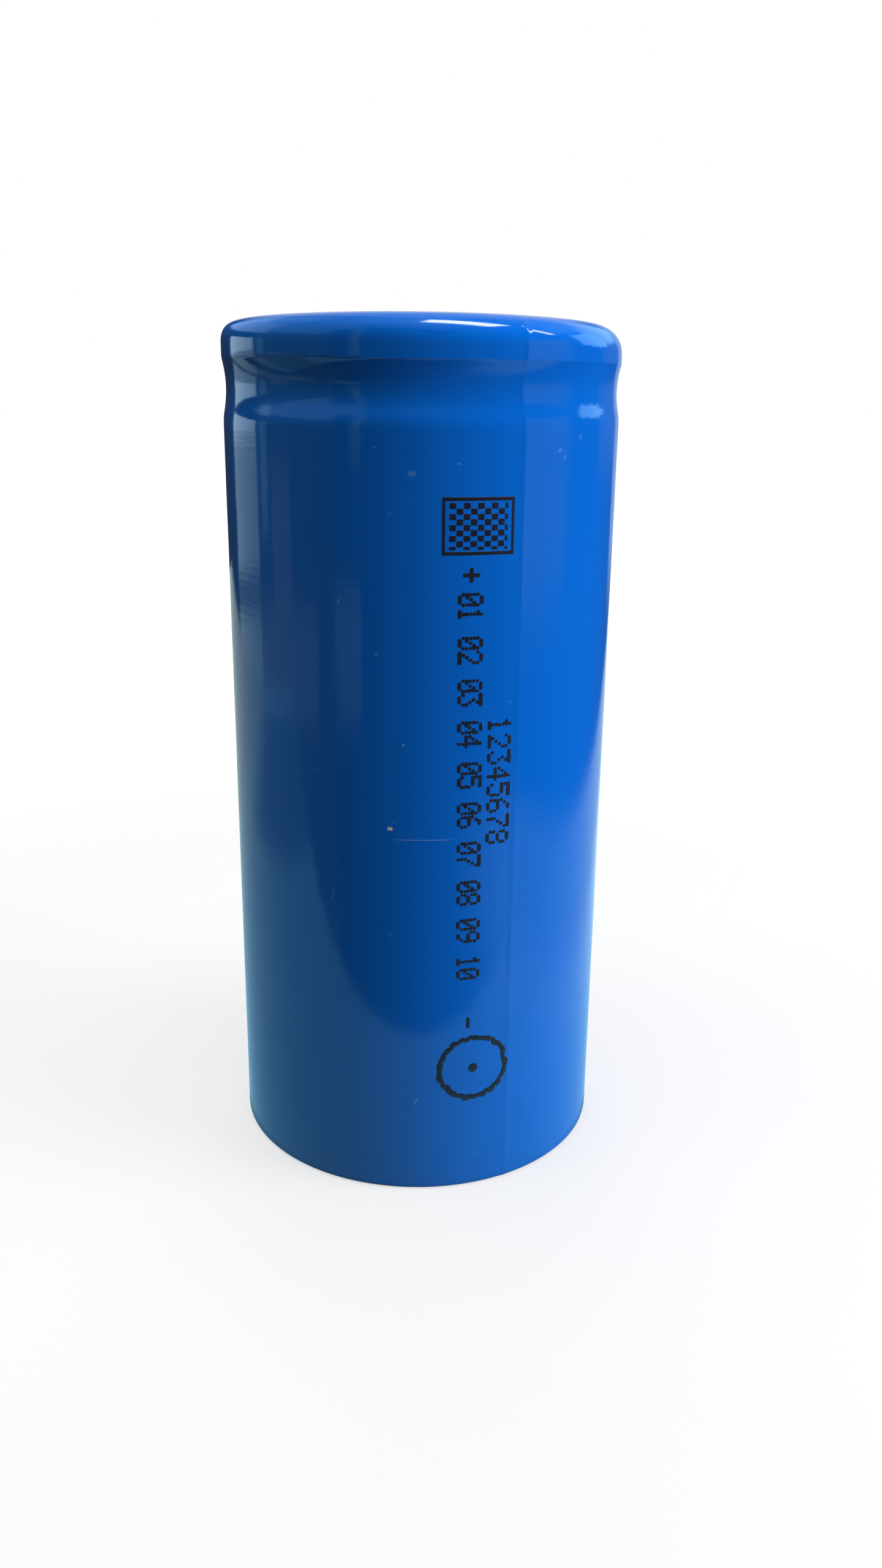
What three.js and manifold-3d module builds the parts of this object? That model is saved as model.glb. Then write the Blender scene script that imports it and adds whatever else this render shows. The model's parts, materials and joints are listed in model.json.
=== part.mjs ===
import * as THREE from "three";
import { mergeVertices } from "three/addons/utils/BufferGeometryUtils.js";
import Module from "manifold-3d";

// A 32 x 70 mm cylindrical lithium iron phosphate cell.
// Millimetres, +Z up. The origin is the centre of the foot, Z is the cell's axis and the
// positive contact is at the top. The printed side faces -Y.

const wasm = await Module();
wasm.setup();

// Overall sizes
const cellDiameter = 32.2;
const sleevedHeight = 70.0;
const contactStand = 0.3;

// How finely round shapes are cut
const roundSegments = 32;
const arcSteps = 3;
const shoulderSteps = 4;
const dipSteps = 4;

// Clearances
const faceGap = 0.05;
const cutOverrun = 1.0;
const weldShare = 1e-5;

// Shrink sleeve
const sleeveThickness = 0.12;
const sleeveFootRadius = 0.5;
const sleeveShoulderRadius = 2.5;
const sleeveHemWidth = 3.1;
const sleeveLipWidth = 3.5;
const sleeveDip = 0.27;
const sleeveDipRunOut = 0.25;

// Steel can
const canWall = 0.3;
const canFloor = 0.4;
const canFloorRingInset = 0.6;
const crimpRadius = 2.0;
const crimpLipWidth = 3.3;
const beadCentreDrop = 5.4;
const beadDepth = 2.6;
const beadThroatRadius = 1.1;
const beadLowerRadius = 1.2;
const beadUpperRadius = 1.4;

// Ring between the crimp and the sleeve's top lip
const topRingThickness = 0.25;
const topRingWidth = 4.6;

// Sealing gasket
const gasketFloor = 0.8;
const gasketWall = 0.8;
const gasketFloorWidth = 2.4;
const gasketLipOverhang = 0.3;

// Positive cap
const capThickness = 0.8;
const capContactRadius = 6.2;
const capEdgeRadius = 0.6;
const capSkirtSpread = 2.1;
const capVentCount = 4;
const capVentLength = 4.2;
const capVentWidth = 1.3;

// Burst disc
const ventThickness = 0.5;
const ventDishDepth = 0.5;
const ventDishInset = 0.43;
const ventDishSlope = 1.2;
const ventScoreInset = 1.8;
const ventScoreWidth = 0.5;
const ventScoreDepth = 0.25;
const ventBossDepth = 0.7;
const ventBossRadius = 2.6;
const ventBossSlope = 2.4;

// Ring between the burst disc and the contact disc
const ventInsulatorWidth = 1.3;

// Contact disc
const contactThickness = 0.5;
const contactHoleCount = 6;
const contactHoleRadius = 1.3;
const contactHoleCircle = 6.8;

// Wound roll
const rollTurns = 8;
const rollStepsPerTurn = 16;
const rollCoreRadius = 2.0;
const rollSheetGap = 0.06;
const rollWallClearance = 0.3;
const rollEndClearance = 0.15;
const anodeEndInset = 1.0;
const cathodeEndInset = 1.6;

// Tape that closes the roll
const closingTapeThickness = 0.1;
const closingTapeEndInset = 4.0;
const closingTapeLeadSteps = 3;
const closingTapeRampSteps = 3;
const closingTapeTailSteps = 2;

// Insulating discs at the two ends of the roll
const topInsulatorThickness = 0.4;
const bottomInsulatorThickness = 0.3;
const insulatorEdgeClearance = 0.3;
const insulatorSlotClearance = 0.6;

// Tabs
const tabThickness = 0.15;
const tabWidth = 3.5;
const tabFootGap = 0.3;
const positiveTabTurn = 6;
const positiveTabBendRadius = 0.5;
const positiveTabFoldRadius = 0.45;
const positiveTabFoldReach = 2.5;
const positiveTabWeldReach = 9.0;
const negativeTabTurn = 5;
const negativeTabBendRadius = 0.35;
const negativeTabReach = 3.0;
const tabTapeThickness = 0.1;
const tabTapeOverlap = 0.5;
const tabTapeReach = 4.5;

// Sleeve, can and top ring, from the outside in
const sleeveRadius = cellDiameter / 2;
const sleeveShoulderCentre = sleeveRadius - sleeveShoulderRadius;
const sleeveHemEdge = sleeveRadius - sleeveHemWidth;
const canRadius = sleeveRadius - sleeveThickness - faceGap;
const canInnerRadius = canRadius - canWall;
const canBottom = sleeveThickness + faceGap;
const canFloorTop = canBottom + canFloor;
const topRingTop = sleevedHeight - sleeveThickness - faceGap;
const topRingBottom = topRingTop - topRingThickness;
const canTop = topRingBottom - faceGap;
const crimpCentre = [canRadius - crimpRadius, canTop - crimpRadius];
const crimpEdge = canRadius - crimpLipWidth;

// The bead that is rolled into the can under its crimp
const beadHeight = sleevedHeight - beadCentreDrop;
const beadThroat = [canRadius - beadDepth + beadThroatRadius, beadHeight];
const beadLowerCorner = [canRadius - beadLowerRadius,
  beadHeight - beadThroatRadius - beadLowerRadius];
const beadUpperCorner = [canRadius - beadUpperRadius,
  beadHeight + beadThroatRadius + beadUpperRadius];
const beadLedge = beadHeight + beadThroatRadius + canWall;
const beadUnderside = beadHeight - beadThroatRadius - canWall;

// What the crimp clamps, from the bead up
const gasketRadius = canInnerRadius - faceGap;
const gasketBottom = beadLedge + faceGap;
const gasketSeat = gasketBottom + gasketFloor;
const chamberRadius = gasketRadius - gasketWall;
const gasketMouth = chamberRadius - gasketFloorWidth;
const gasketLipEdge = crimpEdge - gasketLipOverhang;
const gasketLipTop = canTop - canWall - faceGap;
const rimRadius = chamberRadius - faceGap;
const ventRimBottom = gasketSeat + faceGap;
const ventRimTop = ventRimBottom + ventThickness;
const capFlangeBottom = ventRimTop + faceGap;
const capFlangeTop = capFlangeBottom + capThickness;
const contactFace = sleevedHeight + contactStand;
const gasketLipUnderside = capFlangeTop + faceGap;

// What hangs under the burst disc
const ventDishBottom = ventRimBottom - ventDishDepth;
const ventBossBottom = ventDishBottom - ventBossDepth;
const contactDiscTop = ventBossBottom - faceGap;
const contactDiscBottom = contactDiscTop - contactThickness;
const ventInsulatorRadius = gasketMouth - faceGap;
const ventInsulatorInner = ventInsulatorRadius - ventInsulatorWidth;
const ventDishRadius = ventInsulatorInner - ventDishInset;

// Insulating discs and the wound roll between them
const bottomInsulatorBottom = canFloorTop + faceGap + tabThickness + faceGap;
const topInsulatorBottom = beadUnderside - faceGap - topInsulatorThickness;
const topInsulatorRadius = beadLowerCorner[0];
const bottomInsulatorRadius = canInnerRadius - insulatorEdgeClearance;
const rollBottom = bottomInsulatorBottom + bottomInsulatorThickness + rollEndClearance;
const rollTop = topInsulatorBottom - rollEndClearance;
const rollRadius = canInnerRadius - rollWallClearance - closingTapeThickness - faceGap;
const rollPitch = (rollRadius - rollCoreRadius) / (rollTurns + 1);
const rollSteps = rollTurns * rollStepsPerTurn;

// The sheets from the inside of a turn outwards: what each leaves bare at the roll's two ends,
// and the steps by which it starts late and stops early
const rollSheets = [
  { name: "anode_sheet", finish: "anode", endInset: anodeEndInset, late: 3, early: 1 },
  { name: "separator_inner", finish: "separator", endInset: 0, late: 0, early: 0 },
  { name: "cathode_sheet", finish: "cathode", endInset: cathodeEndInset, late: 6, early: 3 },
  { name: "separator_outer", finish: "separator", endInset: 0, late: 0, early: 0 },
];
const anodeLayer = 0;
const cathodeLayer = 2;
const sheetSpacing = rollPitch / rollSheets.length;
const sheetThickness = sheetSpacing - rollSheetGap;

// Finishes
const finishes = {
  sleeve: new THREE.MeshStandardMaterial({ color: 0x0a55c4, roughness: 0.2, metalness: 0 }),
  steel: new THREE.MeshStandardMaterial({ color: 0xb9bcc0, roughness: 0.3, metalness: 1 }),
  nickel: new THREE.MeshStandardMaterial({ color: 0xc9c6bd, roughness: 0.28, metalness: 1 }),
  aluminium: new THREE.MeshStandardMaterial({ color: 0xd6d8da, roughness: 0.4, metalness: 1 }),
  fibre: new THREE.MeshStandardMaterial({ color: 0xe9e7df, roughness: 0.8, metalness: 0 }),
  gasket: new THREE.MeshStandardMaterial({ color: 0x1c1c1e, roughness: 0.5, metalness: 0 }),
  cathode: new THREE.MeshStandardMaterial({ color: 0x2a2b2d, roughness: 0.8, metalness: 0 }),
  anode: new THREE.MeshStandardMaterial({ color: 0x5a4034, roughness: 0.7, metalness: 0 }),
  separator: new THREE.MeshStandardMaterial({ color: 0xf2f2f0, roughness: 0.6, metalness: 0 }),
  tape: new THREE.MeshStandardMaterial({ color: 0xb8862c, roughness: 0.4, metalness: 0 }),
};

const cell = new THREE.Group();

// Puts one finished piece into the cell under its own name.
function addPiece(name, geometry, finish, degrees = 0) {
  const mesh = new THREE.Mesh(geometry, finishes[finish]);
  mesh.name = name;
  mesh.rotation.z = THREE.MathUtils.degToRad(degrees);
  cell.add(mesh);
}

// Points on an arc of a section, angles in degrees from straight outwards.
function arc([centreX, centreY], radius, fromDegrees, toDegrees, steps = arcSteps) {
  return Array.from({ length: steps + 1 }, (_, step) => {
    const degrees = THREE.MathUtils.lerp(fromDegrees, toDegrees, step / steps);
    const angle = THREE.MathUtils.degToRad(degrees);
    return [centreX + radius * Math.cos(angle), centreY + radius * Math.sin(angle)];
  });
}

// Corner points of a circle, the first straight along X.
function circle(radius, centre = [0, 0]) {
  return arc(centre, radius, 0, 360, roundSegments).slice(0, -1);
}

// Corner points of a rectangle that stands across the X axis at a distance.
function crosswiseSlot(distance, length, width) {
  const near = distance - length / 2;
  const far = distance + length / 2;
  return [[near, -width / 2], [far, -width / 2], [far, width / 2], [near, width / 2]];
}

// Turns points about the origin.
function turnPoints(points, degrees) {
  const angle = THREE.MathUtils.degToRad(degrees);
  const [cosine, sine] = [Math.cos(angle), Math.sin(angle)];
  return points.map(([x, y]) => [x * cosine - y * sine, x * sine + y * cosine]);
}

// Leaves only positions, joins vertices that coincide and drops faces that shrink to a line.
function weld(geometry) {
  geometry.deleteAttribute("normal");
  geometry.deleteAttribute("uv");
  const merged = mergeVertices(geometry, cellDiameter * weldShare);
  const corners = merged.index.array;
  const kept = [];
  for (let face = 0; face < corners.length; face += 3) {
    const [a, b, c] = corners.slice(face, face + 3);
    if (a !== b && b !== c && c !== a) kept.push(a, b, c);
  }
  merged.setIndex(kept);
  return merged;
}

// Faces of a flat round end: one large middle face and a fan along each of its three sides.
function discFaces(ring) {
  const third = Math.round(ring.length / 3);
  const starts = [0, third, 2 * third];
  const faces = starts.map((start) => ring[start]);
  starts.forEach((start, side) => {
    const stop = starts[side + 1] ?? ring.length;
    for (let step = start + 1; step < stop; step += 1) {
      faces.push(ring[start], ring[step], ring[(step + 1) % ring.length]);
    }
  });
  return faces;
}

// Gives the flat round ends of a turned piece faces that reach across the axis.
function fillEnds(geometry) {
  const { position } = geometry.attributes;
  const reach = cellDiameter * weldShare;
  const onAxis = (vertex) => Math.hypot(position.getX(vertex), position.getY(vertex)) < reach;
  const corners = geometry.index.array;
  const faces = [];
  const ends = new Map();
  for (let face = 0; face < corners.length; face += 3) {
    const loop = [...corners.slice(face, face + 3)];
    const hub = loop.findIndex(onAxis);
    if (hub < 0) {
      faces.push(...loop);
    } else {
      const following = ends.get(loop[hub]) ?? new Map();
      following.set(loop[(hub + 1) % 3], loop[(hub + 2) % 3]);
      ends.set(loop[hub], following);
    }
  }
  for (const following of ends.values()) {
    const ring = [following.keys().next().value];
    while (ring.length < following.size) ring.push(following.get(ring.at(-1)));
    faces.push(...discFaces(ring));
  }
  geometry.setIndex(faces);
  return geometry;
}

// Turns a section about the cell's axis. Its [radius, height] points run anticlockwise.
function turned(section) {
  const points = section.map(([radius, height]) => new THREE.Vector2(radius, height));
  const startsOnAxis = section[0][0] === 0;
  if (!startsOnAxis) points.push(points[0].clone());
  const lathed = new THREE.LatheGeometry(points, roundSegments, Math.PI / 2);
  const piece = weld(lathed.rotateX(Math.PI / 2));
  return startsOnAxis ? fillEnds(piece) : piece;
}

// A flat plate with holes through it, standing on a height.
function plate(outline, holes, thickness, bottom) {
  const points = (loop) => loop.map(([x, y]) => new THREE.Vector2(x, y));
  const shape = new THREE.Shape(points(outline));
  shape.holes = holes.map((hole) => new THREE.Path(points(hole)));
  const geometry = new THREE.ExtrudeGeometry(shape, { depth: thickness, bevelEnabled: false });
  return weld(geometry.translate(0, 0, bottom));
}

// A closed strip through four-cornered sections, each anticlockwise as seen from the far end.
function strip(sections) {
  const faces = [];
  const quad = (a, b, c, d) => faces.push(a, b, c, a, c, d);
  for (let row = 0; row + 1 < sections.length; row += 1) {
    const here = 4 * row;
    const there = here + 4;
    for (let side = 0; side < 4; side += 1) {
      const next = (side + 1) % 4;
      quad(here + side, here + next, there + next, there + side);
    }
  }
  const end = 4 * (sections.length - 1);
  quad(3, 2, 1, 0);
  quad(end, end + 1, end + 2, end + 3);
  const geometry = new THREE.BufferGeometry();
  geometry.setAttribute("position", new THREE.Float32BufferAttribute(sections.flat(2), 3));
  geometry.setIndex(faces);
  return geometry;
}

// Cuts solids out of another.
function cut(geometry, cutters) {
  const solid = (source) => new wasm.Manifold(new wasm.Mesh({
    numProp: 3,
    vertProperties: new Float32Array(source.attributes.position.array),
    triVerts: new Uint32Array(source.index.array),
  }));
  const result = cutters.reduce((rest, cutter) => rest.subtract(solid(cutter)), solid(geometry));
  const mesh = result.getMesh();
  const geometryLeft = new THREE.BufferGeometry();
  geometryLeft.setAttribute("position",
    new THREE.Float32BufferAttribute(mesh.vertProperties, mesh.numProp));
  geometryLeft.setIndex(Array.from(mesh.triVerts));
  return geometryLeft;
}

// The sleeve's side where it sinks over the bead, from the lower end up.
function dipPoints(radius) {
  const lowerReach = beadThroatRadius + beadLowerRadius + sleeveDipRunOut;
  const upperReach = beadThroatRadius + beadUpperRadius + sleeveDipRunOut;
  return Array.from({ length: 2 * dipSteps + 1 }, (_, step) => {
    const along = (step - dipSteps) / dipSteps;
    const reach = along < 0 ? lowerReach : upperReach;
    const depth = (sleeveDip * (1 + Math.cos(Math.PI * along))) / 2;
    return [radius - depth, beadHeight + along * reach];
  });
}

// Blue sleeve: a hem under the foot, a slight dip over the bead and a lip over the crimp.
function sleeve() {
  const foot = [sleeveRadius - sleeveFootRadius, sleeveFootRadius];
  const shoulder = [sleeveShoulderCentre, sleevedHeight - sleeveShoulderRadius];
  const lipEdge = sleeveRadius - sleeveLipWidth;
  const innerFoot = sleeveFootRadius - sleeveThickness;
  const innerShoulder = sleeveShoulderRadius - sleeveThickness;
  return turned([
    [sleeveHemEdge, 0],
    ...arc(foot, sleeveFootRadius, -90, 0),
    ...dipPoints(sleeveRadius),
    ...arc(shoulder, sleeveShoulderRadius, 0, 90, shoulderSteps),
    [lipEdge, sleevedHeight],
    [lipEdge, sleevedHeight - sleeveThickness],
    ...arc(shoulder, innerShoulder, 90, 0, shoulderSteps),
    ...dipPoints(sleeveRadius - sleeveThickness).reverse(),
    ...arc(foot, innerFoot, 0, -90),
    [sleeveHemEdge, sleeveThickness],
  ]);
}

// Deep-drawn can with its rolled bead and its crimped lip, open at the top.
function can() {
  const footRadius = sleeveFootRadius - sleeveThickness - faceGap;
  const foot = [canRadius - footRadius, canBottom + footRadius];
  return turned([
    [0, canBottom],
    [sleeveHemEdge - canFloorRingInset, canBottom],
    ...arc(foot, footRadius, -90, 0),
    ...arc(beadLowerCorner, beadLowerRadius, 0, 90),
    ...arc(beadThroat, beadThroatRadius, 270, 90, shoulderSteps),
    ...arc(beadUpperCorner, beadUpperRadius, -90, 0),
    ...arc(crimpCentre, crimpRadius, 0, 90, shoulderSteps),
    [crimpEdge, canTop],
    [crimpEdge, canTop - canWall],
    ...arc(crimpCentre, crimpRadius - canWall, 90, 0, shoulderSteps),
    ...arc(beadUpperCorner, beadUpperRadius - canWall, 0, -90),
    ...arc(beadThroat, beadThroatRadius + canWall, 90, 270, shoulderSteps),
    ...arc(beadLowerCorner, beadLowerRadius - canWall, 90, 0),
    [canInnerRadius, canFloorTop],
    [0, canFloorTop],
  ]);
}

// Thin washer on the crimp, held down by the sleeve's lip.
function topRing() {
  const inner = sleeveShoulderCentre - topRingWidth;
  return turned([
    [inner, topRingBottom],
    [sleeveShoulderCentre, topRingBottom],
    [sleeveShoulderCentre, topRingTop],
    [inner, topRingTop],
  ]);
}

// Seal that follows the can from the bead to the crimp and holds the cap and the burst disc.
function gasket() {
  const skin = canWall + faceGap;
  return turned([
    [gasketMouth, gasketBottom],
    ...arc(beadUpperCorner, beadUpperRadius - skin, -90, 0),
    ...arc(crimpCentre, crimpRadius - skin, 0, 90, shoulderSteps),
    [gasketLipEdge, gasketLipTop],
    [gasketLipEdge, gasketLipUnderside],
    [chamberRadius, gasketLipUnderside],
    [chamberRadius, gasketSeat],
    [gasketMouth, gasketSeat],
  ]);
}

// Pressed cap: a clamped flange, a sloping skirt with vent slots and the raised contact.
function positiveCap() {
  const edge = [capContactRadius - capEdgeRadius, contactFace - capEdgeRadius];
  const skirtFoot = capContactRadius + capSkirtSpread;
  const shell = turned([
    [0, contactFace - capThickness],
    [capContactRadius - capThickness, contactFace - capThickness],
    [skirtFoot - capThickness, capFlangeBottom],
    [rimRadius, capFlangeBottom],
    [rimRadius, capFlangeTop],
    [skirtFoot, capFlangeTop],
    ...arc(edge, capEdgeRadius, 0, 90),
    [0, contactFace],
  ]);
  const middle = capContactRadius + capSkirtSpread / 2;
  const endRadius = capVentWidth / 2;
  const endOffset = capVentLength / 2 - endRadius;
  const outline = [
    ...arc([middle, endOffset], endRadius, 0, 180),
    ...arc([middle, -endOffset], endRadius, 180, 360),
  ];
  const depth = contactFace - capFlangeBottom + 2 * cutOverrun;
  const vents = Array.from({ length: capVentCount }, (_, index) => plate(
    turnPoints(outline, (360 * (index + 0.5)) / capVentCount),
    [], depth, capFlangeBottom - cutOverrun));
  return cut(shell, vents);
}

// Burst disc: a clamped rim, a dished middle with a round score and a boss that is welded down.
function ventDisc() {
  const bossSlopeEnd = ventBossRadius + ventBossSlope;
  const dishEdge = ventDishRadius - ventDishSlope;
  const dishTop = ventDishBottom + ventThickness;
  const scoreRadius = dishEdge - ventScoreInset;
  const halfScore = ventScoreWidth / 2;
  return turned([
    [0, ventBossBottom],
    [ventBossRadius, ventBossBottom],
    [bossSlopeEnd, ventDishBottom],
    [dishEdge, ventDishBottom],
    [ventDishRadius, ventRimBottom],
    [rimRadius, ventRimBottom],
    [rimRadius, ventRimTop],
    [ventDishRadius, ventRimTop],
    [dishEdge, dishTop],
    [scoreRadius + halfScore, dishTop],
    [scoreRadius, dishTop - ventScoreDepth],
    [scoreRadius - halfScore, dishTop],
    [bossSlopeEnd, dishTop],
    [ventBossRadius, ventBossBottom + ventThickness],
    [0, ventBossBottom + ventThickness],
  ]);
}

// Ring that fills the space between the burst disc's rim and the contact disc.
function ventInsulator() {
  const top = ventRimBottom - faceGap;
  const bottom = contactDiscTop + faceGap;
  return turned([
    [ventInsulatorInner, bottom],
    [ventInsulatorRadius, bottom],
    [ventInsulatorRadius, top],
    [ventInsulatorInner, top],
  ]);
}

// Perforated disc that the positive tabs are welded to.
function contactDisc() {
  const holes = Array.from({ length: contactHoleCount }, (_, index) => turnPoints(
    circle(contactHoleRadius, [contactHoleCircle, 0]),
    tabDegrees(0) + (360 * (index + 0.5)) / contactHoleCount));
  return plate(circle(ventInsulatorRadius), holes, contactThickness, contactDiscBottom);
}

// One wound sheet. The inner face's radius follows a function of the winding step.
function woundSheet(firstStep, lastStep, innerRadius, thickness, bottom, top) {
  const sections = [];
  for (let step = firstStep; step <= lastStep; step += 1) {
    const angle = (2 * Math.PI * step) / rollStepsPerTurn;
    const point = (radius, height) => [radius * Math.cos(angle), radius * Math.sin(angle), height];
    const inner = innerRadius(step);
    const outer = inner + thickness;
    sections.push([point(inner, bottom), point(inner, top), point(outer, top),
      point(outer, bottom)]);
  }
  return strip(sections);
}

// Inner radius of a layer of the roll at a winding step.
function layerRadius(layer, step) {
  return rollCoreRadius + (rollPitch * step) / rollStepsPerTurn + layer * sheetSpacing;
}

// One of the four sheets of the roll.
function rollSheet(layer) {
  const { endInset, late, early } = rollSheets[layer];
  return woundSheet(late, rollSteps - early, (step) => layerRadius(layer, step),
    sheetThickness, rollBottom + endInset, rollTop - endInset);
}

// Tape over the outer sheet's free end, down onto the turn below.
function closingTape() {
  const rampEnd = rollSteps + closingTapeRampSteps;
  const innerRadius = (step) => {
    const fallen = THREE.MathUtils.clamp((step - rollSteps) / closingTapeRampSteps, 0, 1);
    return layerRadius(rollSheets.length, step) - rollSheetGap + faceGap - fallen * rollPitch;
  };
  return woundSheet(rollSteps - closingTapeLeadSteps, rampEnd + closingTapeTailSteps,
    innerRadius, closingTapeThickness,
    rollBottom + closingTapeEndInset, rollTop - closingTapeEndInset);
}

// A flat strip that is bent along a path of [distance, height] points.
function bentStrip(path, width, thickness) {
  const direction = (from, to) => {
    const length = Math.hypot(to[0] - from[0], to[1] - from[1]);
    return [(to[0] - from[0]) / length, (to[1] - from[1]) / length];
  };
  return strip(path.map(([distance, height], index) => {
    const before = direction(path[Math.max(index - 1, 0)], path[Math.max(index, 1)]);
    const last = path.length - 1;
    const after = direction(path[Math.min(index, last - 1)], path[Math.min(index + 1, last)]);
    const length = Math.hypot(before[0] + after[0], before[1] + after[1]);
    const along = [(before[0] + after[0]) / length, (before[1] + after[1]) / length];
    const squeeze = along[0] * after[0] + along[1] * after[1];
    const half = thickness / 2 / squeeze;
    const [x, z] = [along[1] * half, -along[0] * half];
    return [
      [distance - x, -width / 2, height - z],
      [distance + x, -width / 2, height + z],
      [distance + x, width / 2, height + z],
      [distance - x, width / 2, height - z],
    ];
  }));
}

// Winding step whose flat facet carries a tab: the first or, for the second tab, half a turn on.
function tabStep(index, quarter = 0) {
  return (rollStepsPerTurn * (2 * index + quarter)) / 4 + 0.5;
}

// Direction in which a tab stands.
function tabDegrees(index, quarter = 0) {
  return (360 * tabStep(index, quarter)) / rollStepsPerTurn;
}

// Distance from the axis to the middle of the facet that a tab continues.
function tabDistance(layer, turn, step) {
  const middle = layerRadius(layer, turn * rollStepsPerTurn + step) + sheetThickness / 2;
  return middle * Math.cos(Math.PI / rollStepsPerTurn);
}

const positiveTabDistance = (index) =>
  tabDistance(cathodeLayer, positiveTabTurn, tabStep(index));
const negativeTabDistance = (index) =>
  tabDistance(anodeLayer, negativeTabTurn, tabStep(index, 1));

// Heights of the positive tab's two level runs, middle of its thickness
const positiveTabUpperRun = contactDiscBottom - faceGap - tabThickness / 2;
const positiveTabLowerRun = positiveTabUpperRun - 2 * positiveTabFoldRadius;

// Aluminium tab: up out of the roll, in over the insulator, folded back under the contact disc.
function positiveTab(index) {
  const distance = positiveTabDistance(index);
  const bend = [distance - positiveTabBendRadius, positiveTabLowerRun - positiveTabBendRadius];
  const fold = [positiveTabFoldReach, positiveTabLowerRun + positiveTabFoldRadius];
  return bentStrip([
    [distance, rollTop - cathodeEndInset + tabFootGap],
    ...arc(bend, positiveTabBendRadius, 0, 90),
    ...arc(fold, positiveTabFoldRadius, 270, 90),
    [positiveTabWeldReach, positiveTabUpperRun],
  ], tabWidth, tabThickness);
}

// Tape on the outer side of a positive tab where it bends over the insulator.
function positiveTabTape(index) {
  const offset = tabThickness / 2 + faceGap + tabTapeThickness / 2;
  const distance = positiveTabDistance(index);
  const bend = [distance - positiveTabBendRadius, positiveTabLowerRun - positiveTabBendRadius];
  return bentStrip([
    [distance + offset, topInsulatorBottom + topInsulatorThickness + faceGap],
    ...arc(bend, positiveTabBendRadius + offset, 0, 90),
    [distance - tabTapeReach, positiveTabLowerRun + offset],
  ], tabWidth + 2 * tabTapeOverlap, tabTapeThickness);
}

// Nickel tab: down out of the roll and in along the can's floor, where it is welded.
function negativeTab(index) {
  const distance = negativeTabDistance(index);
  const floorRun = canFloorTop + faceGap + tabThickness / 2;
  const bend = [distance - negativeTabBendRadius, floorRun + negativeTabBendRadius];
  return bentStrip([
    [distance, rollBottom + anodeEndInset - tabFootGap],
    ...arc(bend, negativeTabBendRadius, 0, -90),
    [negativeTabReach, floorRun],
  ], tabWidth, tabThickness);
}

// Disc with a hole over the roll's core and a slot for each of two tabs.
function insulator(radius, distances, degrees, thickness, bottom) {
  const slots = distances.map((distance, index) => turnPoints(
    crosswiseSlot(distance, tabThickness + 2 * insulatorSlotClearance,
      tabWidth + 2 * insulatorSlotClearance),
    degrees[index]));
  return plate(circle(radius), [circle(rollCoreRadius), ...slots], thickness, bottom);
}

addPiece("sleeve", sleeve(), "sleeve");
addPiece("can", can(), "steel");
addPiece("top_insulating_ring", topRing(), "fibre");
addPiece("sealing_gasket", gasket(), "gasket");
addPiece("positive_cap", positiveCap(), "nickel");
addPiece("vent_disc", ventDisc(), "aluminium");
addPiece("vent_insulator", ventInsulator(), "separator");
addPiece("contact_disc", contactDisc(), "aluminium");

rollSheets.forEach(({ name, finish }, layer) => addPiece(name, rollSheet(layer), finish));
addPiece("closing_tape", closingTape(), "tape");

const pair = [0, 1];
pair.forEach((index) => {
  const degrees = tabDegrees(index);
  addPiece(`positive_tab_${index + 1}`, positiveTab(index), "aluminium", degrees);
  addPiece(`positive_tab_tape_${index + 1}`, positiveTabTape(index), "tape", degrees);
  addPiece(`negative_tab_${index + 1}`, negativeTab(index), "nickel", tabDegrees(index, 1));
});
addPiece("top_insulator", insulator(topInsulatorRadius, pair.map(positiveTabDistance),
  pair.map((index) => tabDegrees(index)), topInsulatorThickness, topInsulatorBottom), "fibre");
addPiece("bottom_insulator", insulator(bottomInsulatorRadius, pair.map(negativeTabDistance),
  pair.map((index) => tabDegrees(index, 1)), bottomInsulatorThickness,
  bottomInsulatorBottom), "fibre");

export default cell;
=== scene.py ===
"""Looks of a cylindrical battery cell in a blue shrink sleeve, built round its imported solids.

Sizes are in millimetres until a mesh is made. Angles round the cell are in degrees from -Y, the
printed side, towards +X. Colours are linear.
"""

from __future__ import annotations

import json
import logging
import math
import random
from dataclasses import dataclass, field
from enum import Enum
from typing import Callable, Iterable, Mapping, Sequence, Union

import bmesh
import bpy
from mathutils import Matrix, Vector


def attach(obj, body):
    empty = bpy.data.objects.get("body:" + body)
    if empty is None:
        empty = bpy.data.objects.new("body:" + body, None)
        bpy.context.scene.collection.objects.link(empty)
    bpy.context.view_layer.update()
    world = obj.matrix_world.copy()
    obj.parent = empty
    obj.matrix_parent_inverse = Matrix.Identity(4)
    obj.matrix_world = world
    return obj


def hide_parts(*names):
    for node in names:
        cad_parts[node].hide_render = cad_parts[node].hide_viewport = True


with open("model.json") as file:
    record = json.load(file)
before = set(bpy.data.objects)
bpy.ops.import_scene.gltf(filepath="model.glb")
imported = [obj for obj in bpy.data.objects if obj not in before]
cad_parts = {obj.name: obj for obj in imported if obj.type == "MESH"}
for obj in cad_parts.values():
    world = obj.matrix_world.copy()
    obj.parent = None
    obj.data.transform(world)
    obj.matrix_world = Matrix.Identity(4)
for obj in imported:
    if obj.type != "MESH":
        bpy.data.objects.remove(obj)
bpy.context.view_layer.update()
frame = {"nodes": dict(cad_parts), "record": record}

LOG = logging.getLogger("cell")
BODY = "root"
MM = 0.001
FULL_TURN = 360.0
NOISE_MIDDLE = 0.5

Point = tuple[float, float]
Span = tuple[float, float]
Triple = tuple[float, float, float]
Rgb = Triple
Section = Sequence[Point]


def grey(level: float) -> Rgb:
    """A grey of a level."""
    return level, level, level


WHITE = grey(1.0)


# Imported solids


@dataclass(frozen=True)
class Extent:
    """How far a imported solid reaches: out from the cell's axis, down and up."""

    radius: float
    foot: float
    top: float


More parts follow.
